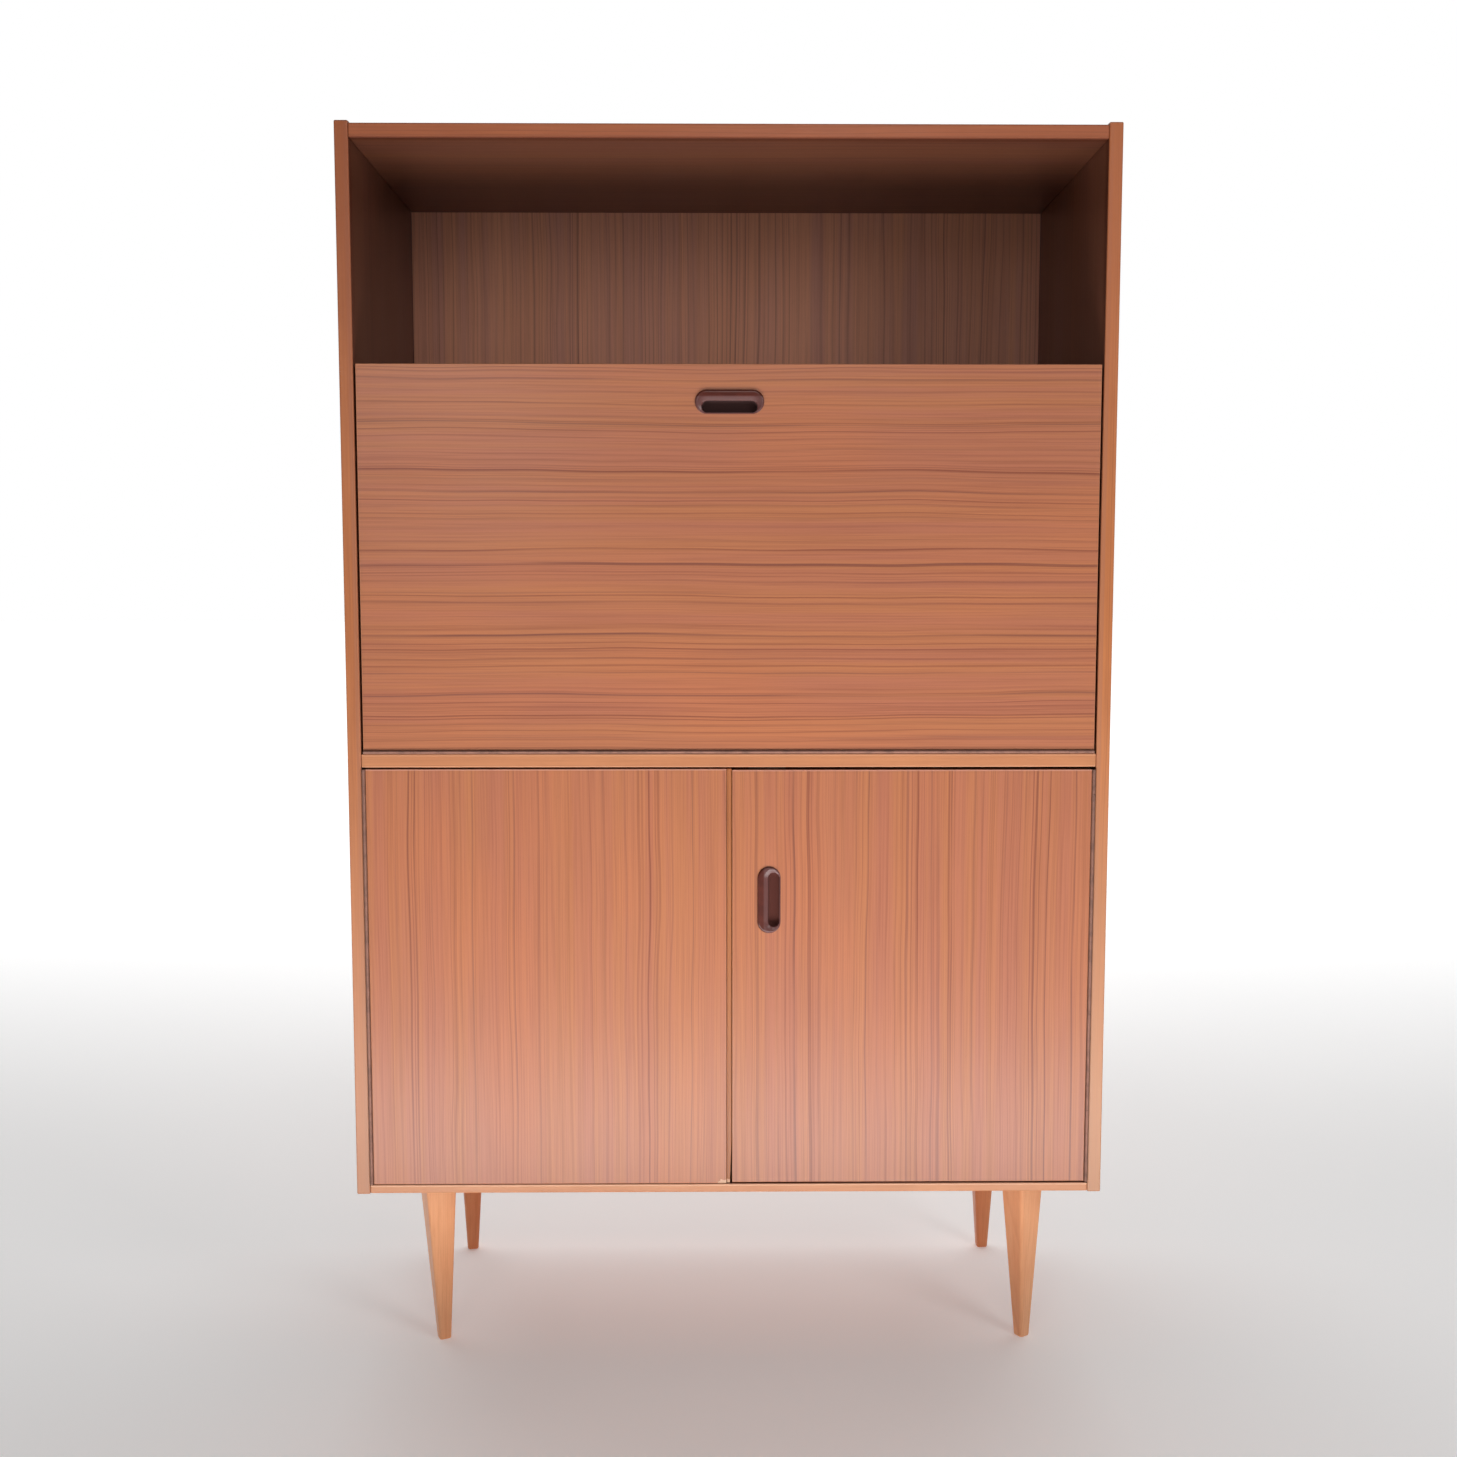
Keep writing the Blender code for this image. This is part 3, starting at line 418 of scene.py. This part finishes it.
# node: grain, base, pale and line colours, then bands of painted light and painted shade as
# axis, where it starts, where it is full, colour and strength
LIPPINGS = {
    # side lippings: painted shade on the inner edge and growing towards the top, painted light
    # growing towards the bottom
    "left_side_lipping": (GRAIN_Z, (0.490, 0.160, 0.056), (0.550, 0.188, 0.066),
                          (0.35, 0.105, 0.037),
                          (GRAIN_X, 0.4400, 0.4385, (0.40, 0.150, 0.085), 0.5),
                          (GRAIN_Z, 0.95, 1.45, (0.34, 0.088, 0.032), 0.7),
                          (GRAIN_Z, 0.95, 0.22, (0.56, 0.270, 0.155), 0.7)),
    "right_side_lipping": (GRAIN_Z, (0.540, 0.180, 0.060), (0.600, 0.208, 0.070),
                           (0.39, 0.120, 0.040),
                           (GRAIN_X, 0.4400, 0.4385, (0.44, 0.170, 0.095), 0.5),
                           (GRAIN_Z, 0.95, 1.45, (0.44, 0.118, 0.038), 0.7),
                           (GRAIN_Z, 0.95, 0.22, (0.58, 0.300, 0.175), 0.8)),
    # a painted shadow along the lower edge
    "top_lipping": (GRAIN_X, (0.430, 0.120, 0.047), (0.480, 0.140, 0.052), (0.31, 0.085, 0.034),
                    (GRAIN_Z, 1.4530, 1.4515, (0.20, 0.052, 0.022), 0.9)),
    # a painted highlight along the top edge
    "desk_floor_lipping": (GRAIN_X, (0.560, 0.222, 0.098), (0.620, 0.255, 0.112),
                           (0.46, 0.170, 0.072),
                           (GRAIN_Z, 0.7415, 0.7435, (0.70, 0.330, 0.180), 0.6)),
    # painted light on the top face, down in the gap under the doors
    "bottom_lipping": (GRAIN_X, (0.640, 0.270, 0.130), (0.700, 0.310, 0.150),
                       (0.54, 0.215, 0.100),
                       (GRAIN_Z, 0.2190, 0.2198, (0.98, 0.560, 0.360), 1.0))}


def panel_outline(node, axes):
    low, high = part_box(node)
    return tuple(low), tuple(high), axes


def node_materials():
    """The finish of every frame node that keeps its own mesh."""
    # case boards: painted shade on their inside faces
    case_x = laminate("case_laminate_x", GRAIN_X, 2.3, BASE, WARM, LINE, PURPLE, roughness=0.42,
                      case=True)
    case_z = laminate("case_laminate_z", GRAIN_Z, 6.1, BASE, WARM, LINE, PURPLE, roughness=0.42,
                      case=True)
    back = laminate("back_laminate", GRAIN_Z, 9.4, (0.65, 0.285, 0.195), (0.76, 0.325, 0.190),
                    (0.340, 0.125, 0.080), (0.270, 0.105, 0.080), roughness=0.5, strength=0.9,
                    coat=0.0)
    door_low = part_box("left_door_panel")[0]
    chip_place = (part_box("left_door_panel")[1].x - 0.001, door_low.y, door_low.z + 0.0012)
    strip = solid_wood("strip_wood", GRAIN_Z, 7.7, (0.42, 0.145, 0.048), (0.48, 0.170, 0.056),
                       (0.29, 0.088, 0.030), chip=chip_place)
    cleat = solid_wood("cleat_wood", GRAIN_Y, 4.2, (0.62, 0.42, 0.24), (0.68, 0.48, 0.29),
                       (0.50, 0.31, 0.17), roughness=0.62, coat=0.0)
    steel = metal("zinc_steel", (0.62, 0.61, 0.58), (0.42, 0.40, 0.36), 0.36, 2.0)
    chosen = {
        "flap_panel": laminate("flap_laminate", GRAIN_X, 3.1, BASE, WARM, LINE, PURPLE,
                               outline=panel_outline("flap_panel", (0, 2))),
        "back_panel": back,
        "meeting_strip": strip}
    for side, chip in (("left", chip_place), ("right", None)):
        node = side + "_door_panel"
        chosen[node] = laminate(side + "_door_laminate", GRAIN_Z, 5.3, BASE, WARM, LINE, PURPLE,
                                outline=panel_outline(node, (0, 2)), chip=chip)
        chosen[side + "_side_panel"] = case_z
    # the back legs: the same wood, given a darker red tone as painted shade
    back_painted_shade = solid_wood("redder_leg_wood", GRAIN_Z, 8.8, (0.78, 0.272, 0.106),
                        (0.84, 0.320, 0.132), (0.64, 0.200, 0.074), roughness=0.36, figure=0.35)
    chosen["back_left_leg"] = chosen["back_right_leg"] = back_painted_shade
    for node, (axis, base, pale, line, *light_and_shade_stripes) in LIPPINGS.items():
        chosen[node] = solid_wood(node + "_wood", axis, 1.9 + len(chosen), base, pale, line,
                                  light_and_shade_stripes=light_and_shade_stripes)
    by_slot = {
        "case_laminate": case_x,
        "back_laminate": back,
        "flap_laminate": chosen["flap_panel"],
        "door_laminate": chosen["left_door_panel"],
        "lipping": chosen["top_lipping"],
        "cleat": cleat,
        "leg_wood": solid_wood("leg_wood", GRAIN_Z, 8.8, (0.96, 0.430, 0.205),
                               (1.00, 0.495, 0.250), (0.80, 0.310, 0.135),
                               roughness=0.36, figure=0.35),
        "hinge_steel": metal("hinge_steel", (0.30, 0.150, 0.110), (0.20, 0.105, 0.078), 0.50, 5.0,
                             metallic=0.5),
        "fitting_steel": steel,
        "stay_chrome": metal("stay_chrome", (0.78, 0.78, 0.78), (0.62, 0.60, 0.57), 0.16, 3.0),
        "catch_plastic": plastic("catch_plastic", (0.56, 0.50, 0.40), (0.50, 0.43, 0.33), 0.45),
        # the flap pull's last colour is the painted shade deep in its pocket
        "pull": pull_finish("flap_pull_plastic", "flap_pull", GRAIN_Z, 1.0,
                            (0.022, 0.0065, 0.0060))}
    for entry in record["subparts"]:
        node = entry["node"]
        chosen.setdefault(node, by_slot[entry["material_slot"]])
    return chosen, by_slot


materials, slot_materials = node_materials()
for node_name, node_object in frame["nodes"].items():
    node_object.data.materials.clear()
    node_object.data.materials.append(materials[node_name])
    node_object.data.shade_smooth()
    node_object.data.set_sharp_from_angle(angle=math.radians(32))


# ---------------------------------------------------------------- pieces

def add_piece(name, mesh, body, material):
    mesh.materials.append(material)
    piece = bpy.data.objects.new(name, mesh)
    scene.collection.objects.link(piece)
    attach(piece, body)
    return piece


def smoothstep(value, low, high):
    t = min(max((value - low) / (high - low), 0.0), 1.0)
    return t * t * (3.0 - 2.0 * t)


# the pulls, in metres: rim under the hood, height of the hood, radius of its edge, depth of the
# pocket and of the body, the oval mouth, and the lip that rolls into it
PULL_RIM = 0.0012
PULL_CREST = 0.0029
PULL_EDGE = 0.0026
PULL_POCKET = 0.0086
PULL_FLOOR = 0.0112
MOUTH_LENGTH = 0.065
MOUTH_WIDTH = 0.0145
MOUTH_CENTRE = -0.0059
LIP_ROUND = 0.0060
LIP_DROP = 0.0022
PANEL_GAP = 0.0003


def stadium_depth(u, v, length, width):
    """How far inside an oval with straight sides a point lies; negative outside."""
    straight = (length - width) / 2
    return width / 2 - math.hypot(u - min(max(u, -straight), straight), v)


def pull_height(u, v, length, width):
    """Height of the pull's front above the panel: a hood that rolls over into a deep pocket."""
    inside = stadium_depth(u, v, length, width)
    edge = min(max(inside / PULL_EDGE, 0.0), 1.0)
    height = PULL_CREST * math.sqrt(1.0 - (1.0 - edge) ** 2)
    into = stadium_depth(u, v - MOUTH_CENTRE, MOUTH_LENGTH, MOUTH_WIDTH)
    turned = min(max(1.0 + into / LIP_ROUND, 0.0), 1.0)
    height -= min(LIP_DROP, height) * (math.hypot(turned, 0.15) - 0.15) / 0.861
    if into <= 0.0:
        return height
    wall = smoothstep(into, 0.0, 0.0010)
    ends = 0.75 + 0.25 * smoothstep(into, 0.0, 0.0035)
    return height - (height + PULL_POCKET) * wall * ends


def eased_samples(count, focus):
    """Values from -1 to 1, closer together near each value in focus and at both ends."""
    fine = [i / 2000 for i in range(-2000, 2001)]
    weight = [1.0 + sum(5.0 * math.exp(-((x - f) / 0.05) ** 2) for f in focus) for x in fine]
    total = sum(weight)
    samples = []
    reached = 0.0
    for x, w in zip(fine, weight):
        if reached >= total * len(samples) / count and len(samples) < count:
            samples.append(x)
        reached += w
    return [-1.0, *samples[1:], 1.0]


def pull_mesh(name, length, width):
    """The pull in its own frame: length along X, front towards -Y, hood towards +Z."""
    bm = bmesh.new()
    lip = (MOUTH_CENTRE + MOUTH_WIDTH / 2) / (width / 2)
    foot = (MOUTH_CENTRE - MOUTH_WIDTH / 2) / (width / 2)
    across = eased_samples(64, (-1.0, foot, lip, lip + 0.2, 1.0))
    along = eased_samples(84, (-1.0, -0.86, 0.86, 1.0))
    straight = (length - width) / 2
    rows = []
    for b in across:
        v = b * width / 2
        half = straight + math.sqrt(max((width / 2) ** 2 - v * v, 0.0))
        rows.append([bm.verts.new((a * half, -pull_height(a * half, v, length, width), v))
                     for a in along])
    for lower, upper in zip(rows, rows[1:]):
        for i in range(len(along) - 1):
            bm.faces.new((lower[i], lower[i + 1], upper[i + 1], upper[i]))
    outline = (rows[0] + [row[-1] for row in rows[1:-1]] + rows[-1][::-1]
               + [row[0] for row in rows[-2:0:-1]])

    def ring(inset, y):
        verts = []
        for vertex in outline:
            u, v = vertex.co.x, vertex.co.z
            near = min(max(u, -straight), straight)
            shrink = (width / 2 - inset) / (width / 2)
            verts.append(bm.verts.new((near + (u - near) * shrink, y, v * shrink)))
        return verts

    rings = [outline, ring(0.0, -PANEL_GAP), ring(PULL_RIM, -PANEL_GAP),
             ring(PULL_RIM, PULL_FLOOR)]
    for front, rear in zip(rings, rings[1:]):
        for i in range(len(front)):
            j = (i + 1) % len(front)
            bm.faces.new((front[j], front[i], rear[i], rear[j]))
    bm.faces.new(rings[-1])
    bmesh.ops.recalc_face_normals(bm, faces=bm.faces)
    mesh = bpy.data.meshes.new(name)
    bm.to_mesh(mesh)
    bm.free()
    mesh.shade_smooth()
    mesh.set_sharp_from_angle(angle=math.radians(50))
    return mesh


def build_pulls():
    # the door pull's last colour is the painted shade deep in its pocket
    door_plastic = pull_finish("door_pull_plastic", "right_door_pull", GRAIN_X, -1.0,
                               (0.110, 0.026, 0.016))
    for node, panel, body, turn, finish in (
            ("flap_pull", "flap_panel", "flap", 0.0, slot_materials["pull"]),
            ("right_door_pull", "right_door_panel", "right_door", -math.pi / 2, door_plastic)):
        low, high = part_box(node)
        middle = (low + high) / 2
        size = high - low
        mesh = pull_mesh(node + "_shell", max(size.x, size.z), min(size.x, size.z))
        face_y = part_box(panel)[0].y
        mesh.transform(Matrix.Translation((middle.x, face_y, middle.z))
                       @ Matrix.Rotation(turn, 4, "Y"))
        shell = add_piece(node + "_shell", mesh, body, finish)
        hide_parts(node)


def head_mesh(radius, height, slot_width, segments=20):
    """A domed screw head facing +Z with a straight slot, or a nail head without one."""
    bm = bmesh.new()
    rings = 4
    previous = None
    for ring in range(rings):
        angle = ring / rings * math.pi / 2
        r = radius * math.cos(angle)
        z = height * math.sin(angle)
        verts = []
        for i in range(segments):
            turn = 2 * math.pi * (i + 0.5) / segments
            verts.append(bm.verts.new((r * math.cos(turn), r * math.sin(turn), z)))
        if previous:
            for i in range(segments):
                j = (i + 1) % segments
                bm.faces.new((previous[i], previous[j], verts[j], verts[i]))
        else:
            bm.faces.new(verts[::-1])
        previous = verts
    bm.faces.new(previous)
    if slot_width:
        for sign in (-1, 1):
            bmesh.ops.bisect_plane(bm, geom=bm.verts[:] + bm.edges[:] + bm.faces[:],
                                   plane_co=(0, sign * slot_width / 2, 0), plane_no=(0, 1, 0))
        for vertex in bm.verts:
            if abs(vertex.co.y) < slot_width / 2 + 1e-7 and vertex.co.z > height * 0.3:
                inner = abs(vertex.co.y) < slot_width / 2 - 1e-7
                vertex.co.z = height * (0.25 if inner else 0.3)
    mesh = bpy.data.meshes.new("head")
    bm.to_mesh(mesh)
    bm.free()
    mesh.shade_smooth()
    mesh.set_sharp_from_angle(angle=math.radians(40))
    return mesh


def heads_piece(name, head, places, body, slot):
    """One mesh holding a head at each (position, outward direction, turn)."""
    bm = bmesh.new()
    for position, outward, turn in places:
        before = len(bm.verts)
        bm.from_mesh(head)
        bm.verts.ensure_lookup_table()
        swing = Vector(outward).to_track_quat("Z", "X").to_matrix().to_4x4()
        matrix = Matrix.Translation(position) @ swing @ Matrix.Rotation(turn, 4, "Z")
        bmesh.ops.transform(bm, matrix=matrix, verts=bm.verts[before:])
    mesh = bpy.data.meshes.new(name)
    bm.to_mesh(mesh)
    bm.free()
    mesh.shade_smooth()
    mesh.set_sharp_from_angle(angle=math.radians(40))
    return add_piece(name, mesh, body, slot_materials[slot])


def spread(low, high, count):
    """Evenly spaced values from half a step inside low to half a step inside high."""
    step = (high - low) / count
    return [low + step * (i + 0.5) for i in range(count)]


def screw_turn(index):
    """Screws stop at any angle; this repeats only after many of them."""
    return (index * 2.399963) % math.pi


# screws, nails and catch poles, in metres; faces are depths of leaves and plates where heads sit
SCREW_RADIUS = 0.0026
SCREW_HEIGHT = 0.0007
SCREW_SLOT = 0.0007
SCREW_SINK = 0.00005
NAIL_RADIUS = 0.0016
NAIL_HEIGHT = 0.0004
NAIL_WANDER = 0.0012
NAILS_PER_BOARD = 9
FLAP_HINGE_SCREWS = 14
DOOR_HINGE_SCREWS = 8
LEAF_ROW_INSET = 0.0055
FLAP_SCREW_SHIFT = 0.006
DOOR_SCREW_SHIFT = 0.005
FIXED_LEAF_FACE = 0.0011
MOVING_LEAF_FACE = 0.0010
STAY_PLATE_FACE = 0.00275
STAY_PLATE_SCREW = 0.0085
STAY_BRACKET_FACE = 0.00195
STAY_BRACKET_INSET = 0.0065
END_INSET = 0.006
LEG_PLATE_INSET = 0.005
POLE_INSET = 0.0035
POLE_SIZE = (0.030, 0.0006, 0.0018)
POLE_ROUND = 0.00015


def hinge_screws(screw):
    """Screws through the flat of each piano hinge leaf."""
    places = {"carcass": [], "flap": [], "left_door": [], "right_door": []}
    low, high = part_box("flap_hinge_fixed_leaf")
    y = high.y - LEAF_ROW_INSET
    for i, x in enumerate(spread(low.x, high.x, FLAP_HINGE_SCREWS)):
        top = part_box("desk_floor")[1].z + FIXED_LEAF_FACE - SCREW_SINK
        places["carcass"].append(((x, y, top), (0, 0, 1), screw_turn(i)))
        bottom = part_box("flap_panel")[0].z - MOVING_LEAF_FACE + SCREW_SINK
        places["flap"].append(((x + FLAP_SCREW_SHIFT, y, bottom), (0, 0, -1),
                               screw_turn(i + 5)))
    for side, sign in (("left", -1), ("right", 1)):
        low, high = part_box(side + "_door_hinge_fixed_leaf")
        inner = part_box(side + "_side_panel")[0 if sign > 0 else 1].x
        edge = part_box(side + "_door_panel")[1 if sign > 0 else 0].x
        for i, z in enumerate(spread(low.z, high.z, DOOR_HINGE_SCREWS)):
            fixed = inner - sign * (FIXED_LEAF_FACE - SCREW_SINK)
            moving = edge + sign * (MOVING_LEAF_FACE - SCREW_SINK)
            places["carcass"].append(((fixed, y, z), (-sign, 0, 0), screw_turn(i + 2)))
            places[side + "_door"].append(((moving, y, z + DOOR_SCREW_SHIFT), (sign, 0, 0),
                                           screw_turn(i + 9)))
    for body, spots in places.items():
        heads_piece(body + "_hinge_screws", screw, spots, body, "hinge_steel")


def fitting_screws(screw):
    """Screws of the leg plates, stay brackets, guide plates, strikes and catches."""
    places = {"carcass": [], "flap": [], "left_door": [], "right_door": []}
    for corner in ("front_left", "front_right", "back_left", "back_right"):
        low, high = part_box(corner + "_leg_plate")
        for x in (low.x + LEG_PLATE_INSET, high.x - LEG_PLATE_INSET):
            for y in (low.y + LEG_PLATE_INSET, high.y - LEG_PLATE_INSET):
                places["carcass"].append(((x, y, low.z + SCREW_SINK), (0, 0, -1),
                                          screw_turn(len(places["carcass"]))))
    for side, sign in (("left", -1), ("right", 1)):
        low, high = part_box(side + "_stay_plate")
        side_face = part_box(side + "_side_panel")[0 if sign > 0 else 1].x
        face = side_face - sign * STAY_PLATE_FACE
        middle = (low + high) / 2
        for dz in (-STAY_PLATE_SCREW, STAY_PLATE_SCREW):
            places["carcass"].append(((face, middle.y, middle.z + dz), (-sign, 0, 0),
                                      screw_turn(len(places["carcass"]))))
        low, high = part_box(side + "_stay_bracket")
        x = low.x + STAY_BRACKET_INSET if sign > 0 else high.x - STAY_BRACKET_INSET
        for z in (low.z + END_INSET, high.z - END_INSET):
            places["flap"].append(((x, low.y + STAY_BRACKET_FACE, z), (0, 1, 0),
                                   screw_turn(int(z * 900))))
    for node, body in (("flap_strike", "flap"), ("left_door_strike", "left_door"),
                       ("right_door_strike", "right_door")):
        low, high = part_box(node)
        for x in (low.x + END_INSET, high.x - END_INSET):
            places[body].append(((x, high.y - SCREW_SINK, (low.z + high.z) / 2),
                                 (0, 1, 0), screw_turn(int(x * 700))))
    for node in ("flap_catch", "left_door_catch", "right_door_catch"):
        low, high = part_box(node)
        for x in (low.x + END_INSET, high.x - END_INSET):
            places["carcass"].append(((x, (low.y + high.y) / 2, low.z + SCREW_SINK), (0, 0, -1),
                                      screw_turn(int(x * 500))))
    for body, spots in places.items():
        heads_piece(body + "_fitting_screws", screw, spots, body, "fitting_steel")


def back_nails(nail):
    """The nails that hold the back panel to the rear edges of the boards."""
    low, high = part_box("back_panel")
    rows = [sum(corner.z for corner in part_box(node)) / 2
            for node in ("top_panel", "niche_floor", "desk_shelf", "desk_floor",
                         "cupboard_shelf", "bottom_panel")]
    spots = []
    for z in rows:
        for x in spread(low.x, high.x, NAILS_PER_BOARD):
            wobble = NAIL_WANDER * math.sin(37.0 * x + 91.0 * z)
            spots.append(((x + wobble, high.y, z + wobble), (0, 1, 0), 0.0))
    heads_piece("back_nails", nail, spots, "carcass", "fitting_steel")


def catch_magnets():
    """Two steel pole plates in the front of each magnetic catch."""
    for node in ("flap_catch", "left_door_catch", "right_door_catch"):
        low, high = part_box(node)
        bm = bmesh.new()
        for z in (low.z + POLE_INSET, high.z - POLE_INSET):
            scale = Matrix.Diagonal((*POLE_SIZE, 1.0))
            move = Matrix.Translation(((low.x + high.x) / 2, low.y, z))
            bmesh.ops.create_cube(bm, size=1.0, matrix=move @ scale)
        bmesh.ops.bevel(bm, geom=bm.edges[:], offset=POLE_ROUND, segments=2, profile=0.5,
                        affect="EDGES")
        mesh = bpy.data.meshes.new(node + "_poles")
        bm.to_mesh(mesh)
        bm.free()
        add_piece(node + "_poles", mesh, "carcass",
                  slot_materials["fitting_steel"])


build_pulls()
screw_head = head_mesh(SCREW_RADIUS, SCREW_HEIGHT, SCREW_SLOT)
hinge_screws(screw_head)
fitting_screws(screw_head)
back_nails(head_mesh(NAIL_RADIUS, NAIL_HEIGHT, 0.0, 12))
catch_magnets()


# ---------------------------------------------------------------- stage, light, camera

def floor_material():
    """Pale studio ground that glows as a light, its glow growing away from the desk into the white
    surround.
    """
    g = Graph("pale_floor")
    cloud = g.noise(g.place, scale=0.8, detail=3.0)
    grit = g.noise(g.place, scale=60.0, detail=2.0)
    colour = g.mix(g.span(cloud, 0.3, 0.7), (0.93, 0.93, 0.93), (0.96, 0.96, 0.96))
    gloss = g.math("MULTIPLY_ADD", grit, 0.1, 0.55)
    x, y, _ = g.split(g.place)
    away = g.math("SQRT", g.math("ADD", g.math("MULTIPLY", x, x), g.math("MULTIPLY", y, y)))
    g.shader.inputs["Emission Color"].default_value = (1.0, 1.0, 1.0, 1.0)
    behind = g.math("ADD", g.span(y, 0.3, 2.4, 0.17, 0.42), g.span(y, 3.0, 9.0, 0.0, 0.35))
    lit = g.math("ADD", behind, g.span(away, 5.0, 12.0, 0.0, 0.22))
    g.put(lit, g.shader.inputs["Emission Strength"])
    return g.finish(colour, gloss, specular=0.2)


def build_floor():
    bm = bmesh.new()
    bmesh.ops.create_grid(bm, x_segments=2, y_segments=2, size=30.0)
    mesh = bpy.data.meshes.new("floor")
    bm.to_mesh(mesh)
    bm.free()
    mesh.materials.append(floor_material())
    floor = bpy.data.objects.new("floor", mesh)
    scene.collection.objects.link(floor)


def area_light(name, location, target, size, power, colour=(1.0, 1.0, 1.0)):
    data = bpy.data.lights.new(name, "AREA")
    data.shape = "RECTANGLE"
    data.size, data.size_y = size
    data.energy = power
    data.color = colour
    light = bpy.data.objects.new(name, data)
    light.location = location
    light.visible_camera = False
    light.rotation_euler = (Vector(target) - Vector(location)).to_track_quat("-Z", "Y").to_euler()
    scene.collection.objects.link(light)


# strength of the surround as a light, and as it shows behind the desk
WORLD_STRENGTH = 0.135
WORLD_SEEN = 1.0


def build_world():
    """Soft surround light; what shows behind the desk is a plain white."""
    world = bpy.data.worlds.new("studio")
    world.use_nodes = True
    scene.world = world
    tree = world.node_tree
    background = tree.nodes["Background"]
    background.inputs["Color"].default_value = (1.0, 1.0, 1.0, 1.0)
    seen = tree.nodes.new("ShaderNodeLightPath").outputs["Is Camera Ray"]
    level = tree.nodes.new("ShaderNodeMapRange")
    tree.links.new(seen, level.inputs["Value"])
    level.inputs["To Min"].default_value = WORLD_STRENGTH
    level.inputs["To Max"].default_value = WORLD_SEEN
    tree.links.new(level.outputs[0], background.inputs["Strength"])


# name, place, point it faces, width and height, power in watts
LIGHTS = (
    ("key", (0.25, -2.8, 2.10), (0.0, -0.2, 0.8), (0.7, 0.9), 5.2),
    ("near_glow", (0.0, -0.95, 0.03), (0.0, -0.95, 1.0), (1.8, 0.7), 20.0),
    ("high_right", (1.7, -2.0, 1.7), (0.0, -0.2, 0.7), (0.8, 0.8), 10.5),
    ("window", (-0.75, -2.8, 1.5), (0.0, -0.2, 1.0), (0.6, 0.9), 3.6),
    ("backdrop", (0.0, 4.2, 4.0), (0.0, 4.2, 0.0), (9.0, 6.0), 240.0),
)


# the camera fitted to the photograph: place, tilt and turn in radians, lens in millimetres
CAMERA_PLACE = (-0.0201, -2.1206, 0.9576)
CAMERA_DOWN = 0.09479
CAMERA_RIGHT = 0.00984
CAMERA_LENS = 40.46


def build_camera():
    data = bpy.data.cameras.new("camera")
    data.sensor_width = 36.0
    data.lens = CAMERA_LENS
    camera = bpy.data.objects.new("camera", data)
    camera.location = CAMERA_PLACE
    camera.rotation_euler = (math.pi / 2 - CAMERA_DOWN, 0.0, -CAMERA_RIGHT)
    scene.collection.objects.link(camera)
    scene.camera = camera


scene.view_settings.view_transform = "Standard"
build_floor()
build_world()
for light_settings in LIGHTS:
    area_light(*light_settings)
build_camera()
